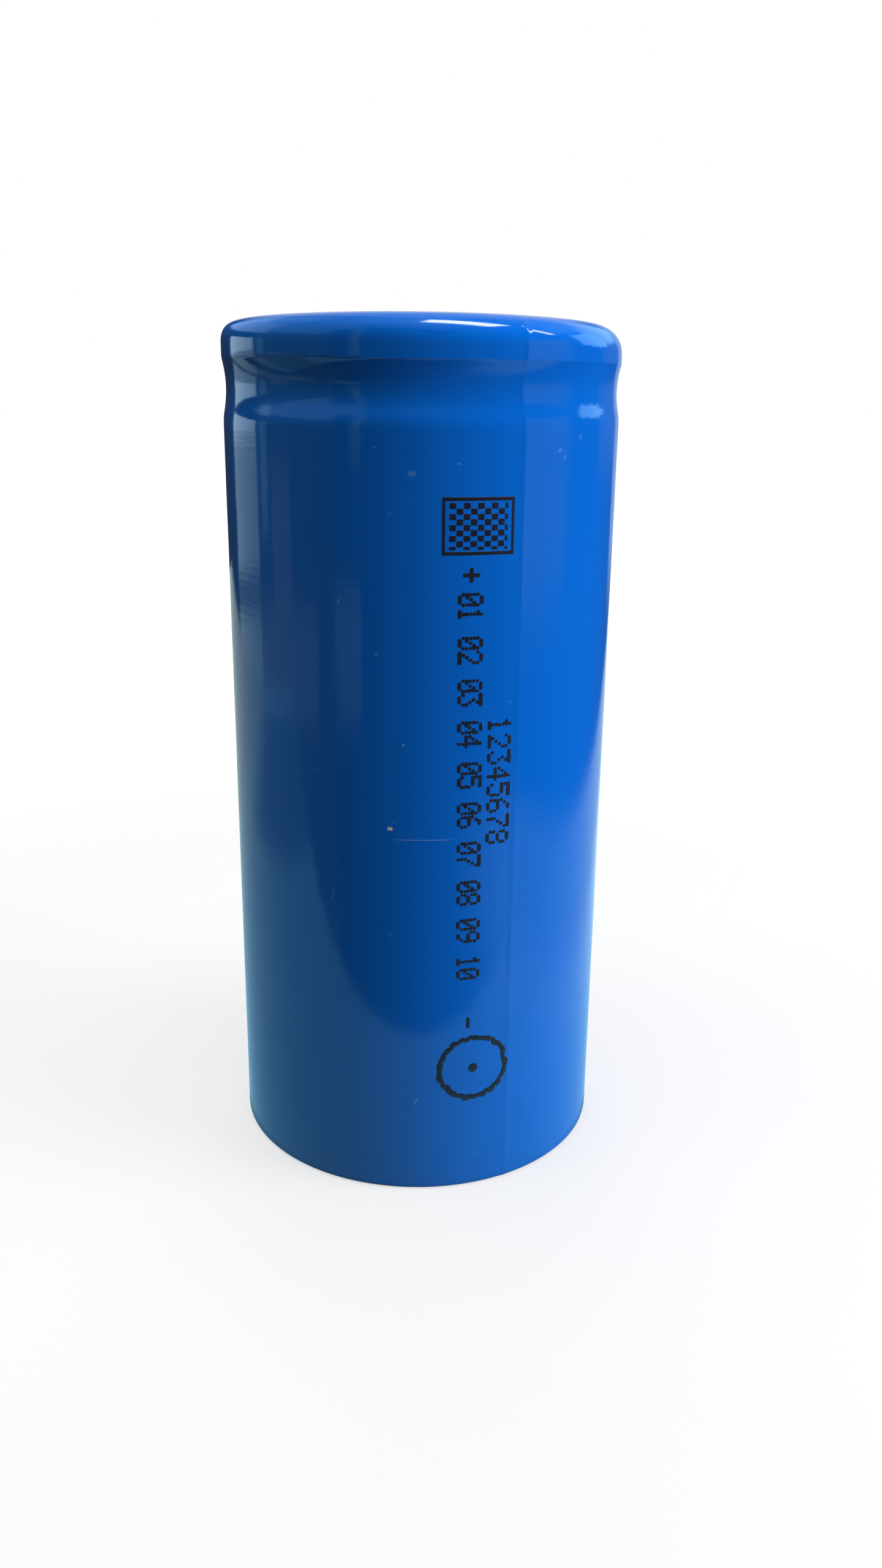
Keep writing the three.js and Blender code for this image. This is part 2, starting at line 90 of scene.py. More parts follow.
def extent(node: str) -> Extent:
    """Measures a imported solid, to a tenth of a micrometre.

    Args:
        node: Its name.

    Returns:
        Its extent.
    """
    solid = frame["nodes"][node]
    corners = [solid.matrix_world @ Vector(corner) / MM for corner in solid.bound_box]
    places = (pick(corner[axis] for corner in corners)
              for pick, axis in ((max, 0), (min, 2), (max, 2)))
    return Extent(*(round(place, 4) for place in places))


SLEEVE, CAN, CAP = (extent(node) for node in ("sleeve", "can", "positive_cap"))


# Shader maths


class Signal:
    """A shader socket that adds Math nodes to its graph when it is used in an expression."""

    def __init__(self, graph: "Graph", socket: bpy.types.NodeSocket) -> None:
        """Keeps the socket and the graph that it belongs to.

        Args:
            graph: The graph that new nodes go into.
            socket: The output socket to read.
        """
        self.graph = graph
        self.socket = socket

    def __add__(self, other: "Value") -> "Signal":
        """Sum."""
        return self.graph.maths("ADD", self, other)

    def __radd__(self, other: "Value") -> "Signal":
        """Sum with the signal on the right."""
        return self.graph.maths("ADD", other, self)

    def __sub__(self, other: "Value") -> "Signal":
        """Difference."""
        return self.graph.maths("SUBTRACT", self, other)

    def __rsub__(self, other: "Value") -> "Signal":
        """Difference with the signal on the right."""
        return self.graph.maths("SUBTRACT", other, self)

    def __mul__(self, other: "Value") -> "Signal":
        """Product."""
        return self.graph.maths("MULTIPLY", self, other)

    def __rmul__(self, other: "Value") -> "Signal":
        """Product with the signal on the right."""
        return self.graph.maths("MULTIPLY", other, self)

    def __neg__(self) -> "Signal":
        """The signal with its sign turned."""
        return self.graph.maths("MULTIPLY", self, -1.0)

    def __abs__(self) -> "Signal":
        """Size without sign."""
        return self.graph.maths("ABSOLUTE", self)

    def at_least(self, other: "Value") -> "Signal":
        """The larger of the two."""
        return self.graph.maths("MAXIMUM", self, other)

    def ramp(self, low: float, high: float) -> "Signal":
        """Rises smoothly from nought at low to one at high.

        Args:
            low: Where the result is nought; it may be the larger of the two.
            high: Where the result is one.

        Returns:
            The eased share, from nought to one.
        """
        settings = {"interpolation_type": "SMOOTHSTEP"}
        sockets = {"Value": self, "From Min": low, "From Max": high}
        return self.graph.add("ShaderNodeMapRange", settings, sockets)

    def between(self, low: float, high: float, soft: float) -> "Signal":
        """One between low and high, fading out over soft at either end.

        Args:
            low: Lower end.
            high: Upper end.
            soft: Width of each fade, centred on its end.

        Returns:
            The mask.
        """
        half = soft / 2
        return self.ramp(low - half, low + half) * self.ramp(high + half, high - half)


Value = Union[Signal, float, Sequence[float]]


class Graph:
    """A node tree that is being filled."""

    # Places of the Mix node's sockets when it mixes colours.
    MIX_FACTOR, MIX_FIRST, MIX_SECOND, MIX_RESULT = 0, 6, 7, 2

    def __init__(self, tree: bpy.types.NodeTree) -> None:
        """Empties the tree.

        Args:
            tree: The tree of a material or a world.
        """
        tree.nodes.clear()
        self.tree = tree

    def add(
        self,
        kind: str,
        settings: Mapping[str, object] | None = None,
        sockets: Mapping[Union[str, int], Value] | None = None,
        output: Union[str, int] = 0,
    ) -> Signal:
        """Adds any node.

        Args:
            kind: The node's type.
            settings: Its properties.
            sockets: Values or links of its input sockets, by name or place.
            output: The output socket that is wanted.

        Returns:
            That output.
        """
        node = self.tree.nodes.new(kind)
        for name, setting in (settings or {}).items():
            setattr(node, name, setting)
        for key, value in (sockets or {}).items():
            target = node.inputs[key]
            if isinstance(value, Signal):
                self.tree.links.new(value.socket, target)
            elif isinstance(value, (int, float)):
                target.default_value = value
            else:
                fill = list(value) + [1.0] * (len(target.default_value) - len(value))
                target.default_value = fill
        return Signal(self, node.outputs[output] if len(node.outputs) else None)

    def maths(self, operation: str, *values: Value) -> Signal:
        """The result of a Math node with an operation and its inputs in order."""
        return self.add("ShaderNodeMath", {"operation": operation}, dict(enumerate(values)))

    def blend(self, factor: Value, first: Value, second: Value) -> Signal:
        """Mixes two colours.

        Args:
            factor: Share of the second.
            first: First colour.
            second: Second colour.

        Returns:
            The mixed colour.
        """
        sockets = {self.MIX_FACTOR: factor, self.MIX_FIRST: first, self.MIX_SECOND: second}
        return self.add("ShaderNodeMix", {"data_type": "RGBA"}, sockets, self.MIX_RESULT)

    def place(self) -> tuple[Signal, Signal, Signal]:
        """Reads the place of the surface point in the object's own space.

        Returns:
            Its X, Y and Z in millimetres.
        """
        coordinates = self.add("ShaderNodeTexCoord", output="Object")
        scaled = self.add("ShaderNodeVectorMath", {"operation": "SCALE"},
                          {0: coordinates, "Scale": 1 / MM})
        return self.split(scaled)

    def split(self, vector: Signal) -> tuple[Signal, Signal, Signal]:
        """The three parts of a vector."""
        outputs = self.add("ShaderNodeSeparateXYZ", sockets={0: vector}).socket.node.outputs
        return tuple(Signal(self, output) for output in outputs)

    def join(self, x: Value, y: Value, z: Value) -> Signal:
        """A vector from its three parts."""
        return self.add("ShaderNodeCombineXYZ", sockets={0: x, 1: y, 2: z})

    def turn(self, x: Signal, y: Signal) -> Signal:
        """Angle round the cell's axis, in radians."""
        return self.maths("ARCTAN2", x, -y)

    def reach(self, x: Signal, y: Signal) -> Signal:
        """Distance from the cell's axis."""
        return self.maths("SQRT", x * x + y * y)

    def bump(self, height: Signal, distance: float) -> Signal:
        """The normal of a height from nought to one, where one stands for so many millimetres."""
        return self.add("ShaderNodeBump", sockets={"Distance": distance * MM, "Height": height})


# Finishes


class Grain(Enum):
    """Which way a metal's fine marks run, with the pulls on the three directions read for it."""

    TURNED = (9.0, 1.2, 9.0)
    DRAWN = (60.0, 3.0, 0.4)
    ROLLED = (0.7, 11.0, 11.0)


def new_material(name: str) -> tuple[bpy.types.Material, Graph]:
    """Makes a material with an empty tree.

    Args:
        name: The material's name.

    Returns:
        The material and its graph.
    """
    material = bpy.data.materials.new(name)
    material.use_nodes = True
    return material, Graph(material.node_tree)


def finish_surface(graph: Graph, sockets: Mapping[Union[str, int], Value]) -> None:
    """Ends a graph in one principled surface.

    Args:
        graph: The graph to end.
        sockets: The surface's values and links.
    """
    surface = graph.add("ShaderNodeBsdfPrincipled", sockets=sockets)
    graph.add("ShaderNodeOutputMaterial", sockets={"Surface": surface})


@dataclass(frozen=True)
class Layer:
    """A layer of cloudy noise and its shares in a finish's colour, roughness and height."""

    scale: float
    detail: float
    span: Span = (0.0, 1.0)
    shade: float = 0.0
    rough: float = 0.0
    relief: float = 0.0

    def read(self, graph: Graph, point: Signal, finer: float = 1.0) -> Signal:
        """Adds the noise.

        Args:
            graph: The graph that it goes into.
            point: Where it is read.
            finer: How many times its scale is taken.

        Returns:
            A value about one half.
        """
        sockets = {"Vector": point, "Scale": self.scale * finer, "Detail": self.detail}
        return graph.add("ShaderNodeTexNoise", sockets=sockets)

    def shading(self, noise: Signal) -> Signal:
        """What the noise adds to the share of a finish's second colour."""
        return noise.ramp(*self.span) * self.shade

    def roughening(self, noise: Signal) -> Signal:
        """What the noise adds to the roughness."""
        return (noise - NOISE_MIDDLE) * self.rough


@dataclass(frozen=True)
class Nick:
    """A small pale mark on the film."""

    arc: float
    height: float
    length: float
    width: float
    lean: float = 0.0
    strength: float = 0.5
    colour: Rgb = (0.30, 0.48, 0.75)
    full_share: float = 0.5

    def mask(self, around: Signal, up: Signal) -> Signal:
        """Where the mark is.

        Args:
            around: Distance round the cell from the printed side.
            up: Height above the foot.

        Returns:
            Its strength on the mark, fading to nought at its edge.
        """
        turn = math.radians(self.lean)
        across, along = around - self.arc, up - self.height
        reach = across * math.cos(turn) + along * math.sin(turn)
        side = along * math.cos(turn) - across * math.sin(turn)
        half = self.length / 2
        ends = abs(reach).ramp(half, half * self.full_share)
        return ends * abs(side).ramp(self.width / 2, 0.0) * self.strength


@dataclass(frozen=True)
class ShrinkFilm:
    """Glossy coloured film, slightly uneven, with specks of dust, fine nicks and painted top light
    over the shoulder.
    """

    colour: Rgb = (0.001, 0.139, 0.665)
    dark_share: float = 0.86
    # Painted top light: the film's colour is raised by this share between these heights, over the
    # shoulder and lip.
    painted_top_light_share: float = 1.15
    painted_top_light_heights: Span = (67.8, 69.0)
    girth_radius: float = SLEEVE.radius
    depth_pull: float = 0.01
    cloud: Layer = Layer(0.16, 3.0, (0.3, 0.7), shade=0.10, rough=0.06, relief=0.55)
    drawn: Layer = Layer(2.6, 3.0, (0.35, 0.7), shade=0.06, relief=0.10)
    drawn_pull: float = 0.06
    grain: Layer = Layer(9.0, 2.0, rough=0.05, relief=0.012)
    dust: Rgb = (0.10, 0.27, 0.62)
    dust_scale: float = 0.34
    dust_size: Span = (0.055, 0.02)
    dust_share: float = 0.3
    mark_rough: float = 0.25
    mark_relief: float = 0.05
    relief_depth: float = 0.05
    roughness: float = 0.09
    least_roughness: float = 0.04
    refraction: float = 1.5
    nicks: tuple[Nick, ...] = ()

    def build(self) -> bpy.types.Material:
        """Makes the material, a little paler over the shoulder and lip: painted top light.

        Returns:
            The material.
        """
        material, graph = new_material("shrink_film")
        x, y, z = graph.place()
        around = graph.turn(x, y) * self.girth_radius
        point = graph.join(around, z, (x * x + y * y) * self.depth_pull)
        cloud = self.cloud.read(graph, point)
        drawn = self.drawn.read(graph, graph.join(around * self.drawn_pull, z, 0.0))
        grain = self.grain.read(graph, point)
        specks = graph.add("ShaderNodeTexVoronoi", sockets={
            "Vector": point, "Scale": self.dust_scale, "Randomness": 1.0})
        # pale is the film's colour with painted top light, blended in over the shoulder and lip.
        dark, pale = (tuple(part * share for part in self.colour)
                      for share in (self.dark_share, self.painted_top_light_share))
        full = graph.blend(z.ramp(*self.painted_top_light_heights), self.colour, pale)
        colour = graph.blend(self.cloud.shading(cloud) + self.drawn.shading(drawn), full, dark)
        marks = specks.ramp(*self.dust_size) * self.dust_share
        colour = graph.blend(marks, colour, self.dust)
        for nick in self.nicks:
            mask = nick.mask(around, z)
            colour = graph.blend(mask, colour, nick.colour)
            marks = marks.at_least(mask)
        roughness = (self.roughness + self.cloud.roughening(cloud) + self.grain.roughening(grain)
                     + marks * self.mark_rough)
        height = (cloud * self.cloud.relief + drawn * self.drawn.relief
                  + grain * self.grain.relief + marks * self.mark_relief)
        finish_surface(graph, {
            "Base Color": colour,
            "Roughness": roughness.at_least(self.least_roughness),
            "IOR": self.refraction,
            "Normal": graph.bump(height, self.relief_depth),
        })
        return material


@dataclass(frozen=True)
class Metal:
    """Bare or plated metal with fine marks and a little tarnish."""

    name: str
    colour: Rgb
    roughness: float
    grain: Grain
    tarnish: Rgb = (0.30, 0.27, 0.23)
    tarnish_share: float = 0.25
    tarnish_rough: float = 0.3
    marks: Layer = Layer(1.0, 4.0, rough=0.16)
    stains: Layer = Layer(0.55, 5.0, (0.48, 0.78), relief=0.3)
    mark_depth: float = 0.004
    least_roughness: float = 0.05

    def build(self) -> bpy.types.Material:
        """Makes the material.

        Returns:
            The material.
        """
        material, graph = new_material(self.name)
        x, y, z = graph.place()
        reach, turn = graph.reach(x, y), graph.turn(x, y)
        directions = {
            Grain.TURNED: (reach, turn, z),
            Grain.DRAWN: (turn, reach, z),
            Grain.ROLLED: (x, y, z),
        }[self.grain]
        pulled = (part * pull for part, pull in zip(directions, self.grain.value))
        marks = self.marks.read(graph, graph.join(*pulled))
        stains = self.stains.read(graph, graph.join(x, y, z))
        dulled = stains.ramp(*self.stains.span) * self.tarnish_share
        roughness = self.roughness + self.marks.roughening(marks) + dulled * self.tarnish_rough
        finish_surface(graph, {
            "Base Color": graph.blend(dulled, self.colour, self.tarnish),
            "Metallic": 1.0,
            "Roughness": roughness.at_least(self.least_roughness),
            "Normal": graph.bump(marks + stains * self.stains.relief, self.mark_depth),
        })
        return material


@dataclass(frozen=True)
class Sheet:
    """Matt board, plastic, tape or coating with a fine texture of its own."""

    name: str
    colour: Rgb
    second: Rgb
    roughness: float
    cells: float
    depth: float
    pulls: Triple = (1.0, 1.0, 1.0)
    fine: Layer = Layer(1.0, 3.0, (0.35, 0.65), shade=0.7, rough=0.12)
    broad: Layer = Layer(1 / 9, 2.0, shade=0.3)

    def build(self) -> bpy.types.Material:
        """Makes the material.

        Returns:
            The material.
        """
        material, graph = new_material(self.name)
        point = graph.join(*(part * pull for part, pull in zip(graph.place(), self.pulls)))
        fine = self.fine.read(graph, point, self.cells)
        broad = self.broad.read(graph, point, self.cells)
        share = self.fine.shading(fine) + broad * self.broad.shade
        finish_surface(graph, {
            "Base Color": graph.blend(share, self.colour, self.second),
            "Roughness": self.roughness + self.fine.roughening(fine),
            "Normal": graph.bump(fine + broad, self.depth),
        })
        return material


# Shapes


def eased(value: float, low: float, high: float) -> float:
    """Rises smoothly from nought at low to one at high."""
    share = min(max((value - low) / (high - low), 0.0), 1.0)
    return share * share * (3.0 - 2.0 * share)


def signed(angle: float) -> float:
    """The same angle, from minus half a turn to half a turn."""
    return (angle + FULL_TURN / 2) % FULL_TURN - FULL_TURN / 2


def even_angles(count: int) -> list[float]:
    """Angles that share a full turn evenly."""
    return [FULL_TURN * index / count for index in range(count)]


def spot(angle: float, radius: float, height: float) -> Vector:
    """A point by its angle round the cell, its distance from the axis and its height, in metres."""
    turn = math.radians(angle)
    return Vector((radius * math.sin(turn), -radius * math.cos(turn), height)) * MM


def arc(centre: Point, reach: Point, start: float, stop: float, steps: int,
        fullness: float = 2.0) -> list[Point]:
    """Points on an elliptical arc of a section.

    Args:
        centre: Its centre.
        reach: Its half axes, outwards and upwards.
        start: First angle, from straight outwards.
        stop: Last angle.
        steps: How many pieces it has.
        fullness: Two for an ellipse; more fills the corner between its axes.

    Returns:
        The points, both ends included.
    """
    points = []
    for step in range(steps + 1):
        turn = math.radians(start + (stop - start) * step / steps)
        parts = [math.copysign(abs(part) ** (2.0 / fullness), part)
                 for part in (math.cos(turn), math.sin(turn))]
        points.append((centre[0] + reach[0] * parts[0], centre[1] + reach[1] * parts[1]))
    return points


def rounded(points: Section, radius: float, steps: int, side_share: float = 0.45) -> list[Point]:
    """Rounds every corner of an open line of points.

    Args:
        points: The line.
        radius: How far each rounding reaches along its two sides, at most.
        steps: How many pieces a rounding has.
        side_share: Share of a side that a rounding may take.

    Returns:
        The rounded line; its two ends stay.
    """
    result = [tuple(points[0])]
    for before, corner, after in zip(points, points[1:], points[2:]):
        corner_point = Vector(corner)
        sides = [Vector(end) - corner_point for end in (before, after)]
        reach = min([radius] + [side.length * side_share for side in sides])
        start, stop = (corner_point + side.normalized() * reach for side in sides)
        for step in range(steps + 1):
            share = step / steps
            point = start.lerp(corner_point, share).lerp(corner_point.lerp(stop, share), share)
            result.append((point.x, point.y))
    result.append(tuple(points[-1]))
    return result


def inside(points: Section, distance: float) -> list[Point]:
    """Moves an open line of points to its left by a distance.

    Args:
        points: The line.
        distance: How far it moves.

    Returns:
        The moved line.
    """
    moved = []
    last = len(points) - 1
    for index, (radius, height) in enumerate(points):
        before, after = points[max(index - 1, 0)], points[min(index + 1, last)]
        along = Vector((after[0] - before[0], after[1] - before[1])).normalized()
        moved.append((radius - along.y * distance, height + along.x * distance))
    return moved


@dataclass(frozen=True)
class Wave:
    """A sine round the cell: its lobes, radians for each millimetre of height, phase and size."""

    lobes: int
    climb: float = 0.0
    phase: float = 0.0
    size: float = 1.0

    def at(self, angle: float, height: float = 0.0, seed: float = 1.0) -> float:
        """Its value at an angle and a height, with its phase taken seed times."""
        turn = self.lobes * math.radians(angle) + self.climb * height + self.phase * seed
        return self.size * math.sin(turn)


@dataclass
class Shape:
    """Corners and faces of a mesh that is being made."""

    corners: list[Vector] = field(default_factory=list)
    faces: list[tuple[int, ...]] = field(default_factory=list)

    def turn(self, section_at: Callable[[float], Section], angles: Sequence[float]) -> "Shape":
        """Adds a body of revolution whose section may change with the angle.

        Args:
            section_at: Gives the closed section at an angle, anticlockwise.
            angles: The angles, rising through one full turn.

        Returns:
            The shape itself.
        """
        base = len(self.corners)
        sections = [section_at(angle) for angle in angles]
        count = len(sections[0])
        for angle, section in zip(angles, sections):
            self.corners.extend(spot(angle, *point) for point in section)
        for column in range(len(angles)):
            here = base + column * count
            there = base + (column + 1) % len(angles) * count
            for row in range(count):
                following = (row + 1) % count
                self.faces.append((here + row, there + row, there + following, here + following))
        return self

    def prism(self, lower: Sequence[Vector], upper: Sequence[Vector]) -> "Shape":
        """Adds a closed prism between two loops, anticlockwise as seen from the upper one.

        Args:
            lower: Corners of the lower end.
            upper: Corners of the upper end.

        Returns:
            The shape itself.
        """
        base, count = len(self.corners), len(lower)
        self.corners.extend([*lower, *upper])
        for index in range(count):
            following = (index + 1) % count
            self.faces.append((base + index, base + following,
                               base + count + following, base + count + index))
        self.faces.append(tuple(range(base + count, base + 2 * count)))
        self.faces.append(tuple(reversed(range(base, base + count))))
        return self

    def piece(self, name: str, weld: float = 0.0005) -> bpy.types.Object:
        """Makes the mesh and its object, with corners that coincide joined.

        Args:
            name: Their name.
            weld: Corners nearer to each other than this are joined.

        Returns:
            The object.
        """
        mesh = bpy.data.meshes.new(name)
        mesh.from_pydata(self.corners, [], self.faces)
        work = bmesh.new()
        work.from_mesh(mesh)
        bmesh.ops.remove_doubles(work, verts=work.verts, dist=weld * MM)
        work.to_mesh(mesh)
        work.free()
        return show(name, mesh)


def show(name: str, data: bpy.types.ID) -> bpy.types.Object:
    """Puts a mesh, a camera or a lamp into the scene as an object.

    Args:
        name: The object's name.
        data: What it shows.

    Returns:
        The object.
    """
    thing = bpy.data.objects.new(name, data)
    bpy.context.scene.collection.objects.link(thing)
    return thing


def settle(piece: bpy.types.Object, material: bpy.types.Material, slot: str,
           *nodes: str, crease: float = 32.0) -> bpy.types.Object:
    """Finishes a new piece: shading, material, body and the solids that it stands for.

    Args:
        piece: The piece.
        material: Its material.
        slot: The record's material slot; not used.
        nodes: The CAD nodes that it replaces.
        crease: Edges that bend by more degrees than this stay sharp.

    Returns:
        The piece.
    """
    piece.data.shade_smooth()
    piece.data.set_sharp_from_angle(angle=math.radians(crease))
    piece.data.materials.clear()
    piece.data.materials.append(material)
    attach(piece, BODY)
    if nodes:
        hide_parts(*nodes)
    LOG.info("piece %s: %d faces", piece.name, len(piece.data.polygons))
    return piece


# Sleeve


PUCKER_WAVES = (Wave(17, phase=1.0, size=0.5), Wave(29, phase=2.1, size=0.3),
                Wave(43, phase=3.7, size=0.2))


class Pucker(Enum):
    """What the small puckers of the shrunk edges move; the value seeds each one's pattern."""

    HEM_EDGE = 1.0
    HEM_LIFT = 2.0
    LIP_EDGE = 4.0
    LIP_LIFT = 5.0

    def at(self, angle: float) -> float:
        """Share of its largest move at an angle, between minus one and one."""
        return sum(wave.at(angle, seed=self.value) for wave in PUCKER_WAVES)


@dataclass
class Sleeve:
    """Shrink sleeve: a hem under the foot, a groove over the bead and a lip over the crimp."""

    radius: float = SLEEVE.radius - 0.012
    height: float = SLEEVE.top
    thickness: float = 0.10
    foot_radius: float = 0.36
    foot_arc_end: float = -8.0
    foot_steps: int = 7
    hem_edge: float = 13.0
    hem_shares: tuple[float, ...] = (0.0, 0.15, 0.35, 0.6, 0.85)
    lip_edge: float = 12.55
    lip_shares: tuple[float, ...] = (0.2, 0.45, 0.7, 0.88, 1.0)
    edge_wave: float = 0.09
    edge_lift: float = 0.035
    shoulder_reach: float = 2.65
    shoulder_drop: float = 2.16
    shoulder_fullness: float = 2.5
    shoulder_steps: int = 18
    reach_lean: float = 0.37
    drop_lean: float = 0.34
    fullness_lean: float = 0.22
    lean_angle: float = 65.0
    crown: float = 0.05
    saddle: float = 0.12
    groove_top: float = 66.87
    groove_top_lift: float = 0.2
    lifted_left: Span = (10.0, 60.0)
    lifted_right: Span = (100.0, 160.0)
    groove_deepest: float = 64.85
    groove_knee: float = 0.78
    groove_foot: float = 62.0
    groove_depth: float = 0.27
    groove_front_depth: float = 0.45
    unevenness: float = 0.010
    broad_wave: Wave = Wave(3, 0.21)
    broad_sway: Wave = Wave(0, 0.33, 1.3)
    fine_waves: tuple[Wave, ...] = (Wave(8, -0.45, 0.7, 0.6), Wave(13, 0.83, 0.0, 0.5))
    fold_angles: Span = (27.9, 207.9)
    fold_height: float = 0.035
    fold_width: float = 0.28
    fold_columns: int = 6
    fold_column_step: float = 0.3
    columns: int = 240
    side_step: float = 2.2
    groove_lead: float = 0.6
    groove_rows: int = 17
    groove_row_step: float = 0.3
    edge_rows: tuple[float, ...] = (-0.25, -0.06, 0.0, 0.06, 0.3)
    crease: float = 28.0

    def groove(self, angle: float, height: float) -> float:
        """How deep the film sinks over the bead; it is deepest on the printed side.

        Args:
            angle: Angle round the cell.
            height: Height above the foot.

        Returns:
            The depth.
        """
        off = signed(angle)
        lifted = max(eased(-off, *self.lifted_left), eased(off, *self.lifted_right))
        front = max(0.0, math.cos(math.radians(angle)))
        depth = self.groove_depth + self.groove_front_depth * front * front
        reach = self.groove_top + self.groove_top_lift * lifted - self.groove_deepest
        place = (height - self.groove_deepest) / reach
        if place >= 1.0:
            return 0.0
        if place >= -self.groove_knee:
            return depth * (1.0 - place * place)
        knee_depth, knee_slope = 1.0 - self.groove_knee ** 2, 2.0 * self.groove_knee
        span = 2.0 * knee_depth / knee_slope
        share = max(0.0, 1.0 + (place + self.groove_knee) / span)
        return depth * knee_depth * share * share

    def radius_at(self, angle: float, height: float) -> float:
        """The outer face's distance from the axis on the side of the cell.

        Args:
            angle: Angle round the cell.
            height: Height above the foot.

        Returns:
            The distance.
        """
        wave = self.broad_wave.at(angle, height) * self.broad_sway.at(angle, height)
        wave += sum(fine.at(angle, height) for fine in self.fine_waves)
        wave /= self.broad_wave.size + sum(fine.size for fine in self.fine_waves)
        fold = 0.0
        for place in self.fold_angles:
            distance = math.radians(signed(angle - place)) * self.radius / self.fold_width
            fold += self.fold_height * math.exp(-distance * distance)
        return self.radius + self.unevenness * wave + fold - self.groove(angle, height)

    def side_heights(self) -> list[float]:
        """Places the rows of corners on the straight side, closer together in the groove.

        Returns:
            Their heights, rising.
        """
        start, stop = self.foot_radius, self.groove_foot - self.groove_lead
        count = round((stop - start) / self.side_step)
        rows = [start + (stop - start) * step / count for step in range(count)]
        rows += [stop + self.groove_row_step * step for step in range(self.groove_rows)]
        rows += [self.groove_top + offset for offset in self.edge_rows]
        return sorted(rows)

    def section(self, angle: float) -> list[Point]:
        """The closed section of the film at an angle.

        Args:
            angle: Angle round the cell.

        Returns:
            Its points, anticlockwise.
        """
        side = [(self.radius_at(angle, height), height) for height in self.side_heights()]
        foot_radius, foot = self.foot_radius, side[0][0] - self.foot_radius
        hem = self.hem_edge + self.edge_wave * Pucker.HEM_EDGE.at(angle)
        hem_lift = self.edge_lift * (1.0 + Pucker.HEM_LIFT.at(angle)) / 2
        lean = math.cos(math.radians(angle - self.lean_angle))
        reach = self.shoulder_reach + self.reach_lean * lean
        drop = self.shoulder_drop + self.drop_lean * lean
        fullness = self.shoulder_fullness - self.fullness_lean * lean
        crown = self.height + self.crown - self.saddle * math.sin(math.radians(angle)) ** 2
        rim = self.radius_at(angle, crown - drop) - reach
        lip = self.lip_edge + self.edge_wave * Pucker.LIP_EDGE.at(angle)
        lip_lift = self.edge_lift * Pucker.LIP_LIFT.at(angle)
        outer = [
            *((hem + (foot - hem) * share, hem_lift * (1 - share) ** 2)
              for share in self.hem_shares),
            *arc((foot, foot_radius), (foot_radius, foot_radius), -90, self.foot_arc_end,
                 self.foot_steps),
            *side,
            *arc((rim, crown - drop), (reach, drop), 0, 90, self.shoulder_steps, fullness),
            *((rim + (lip - rim) * share, crown + lip_lift * share ** 2)
              for share in self.lip_shares),
        ]
        return outer + inside(outer, self.thickness)[::-1]

    def build(self, film: ShrinkFilm) -> bpy.types.Object:
        """Makes and dresses the sleeve.

        Args:
            film: Its finish.

        Returns:
            The piece.
        """
        angles = set(even_angles(self.columns))
        for place in self.fold_angles:
            for step in range(-self.fold_columns, self.fold_columns + 1):
                angles.add((place + step * self.fold_column_step) % FULL_TURN)
        piece = Shape().turn(self.section, sorted(angles)).piece("shrink_sleeve")
        return settle(piece, film.build(), "sleeve_film", "sleeve", crease=self.crease)


# Print


DIGITS = {
    "0": ("01110", "10001", "10011", "10101", "11001", "10001", "01110"),
    "1": ("00100", "01100", "00100", "00100", "00100", "00100", "01110"),
    "2": ("01110", "10001", "00001", "00010", "00100", "01000", "11111"),
    "3": ("11111", "00010", "00100", "00010", "00001", "10001", "01110"),
    "4": ("00010", "00110", "01010", "10010", "11111", "00010", "00010"),
    "5": ("11111", "10000", "11110", "00001", "00001", "10001", "01110"),
    "6": ("00110", "01000", "10000", "11110", "10001", "10001", "01110"),
    "7": ("11111", "00001", "00010", "00100", "01000", "01000", "01000"),
    "8": ("01110", "10001", "10001", "01110", "10001", "10001", "01110"),
    "9": ("01110", "10001", "10001", "01111", "00001", "00010", "01100"),
    " ": ("00000",) * 7,
}


def runs(dots: str) -> Iterable[tuple[int, int]]:
    """Finds the unbroken runs of ones in a row of dots.

    Args:
        dots: The row, in ones and noughts.

    Yields:
        First and last place of each run.
    """
    start = None
    for place, dot in enumerate(dots + "0"):
        if dot == "1" and start is None:
            start = place
        elif dot == "0" and start is not None:
            yield start, place - 1
            start = None


@dataclass(frozen=True)
class NumberLine:
    """A line of dot numerals that runs down the cell, their tops towards +X."""

    text: str
    top: float
    foot: float
    start_arc: float
    end_arc: float
    dot_rows: float
    dot_step: float


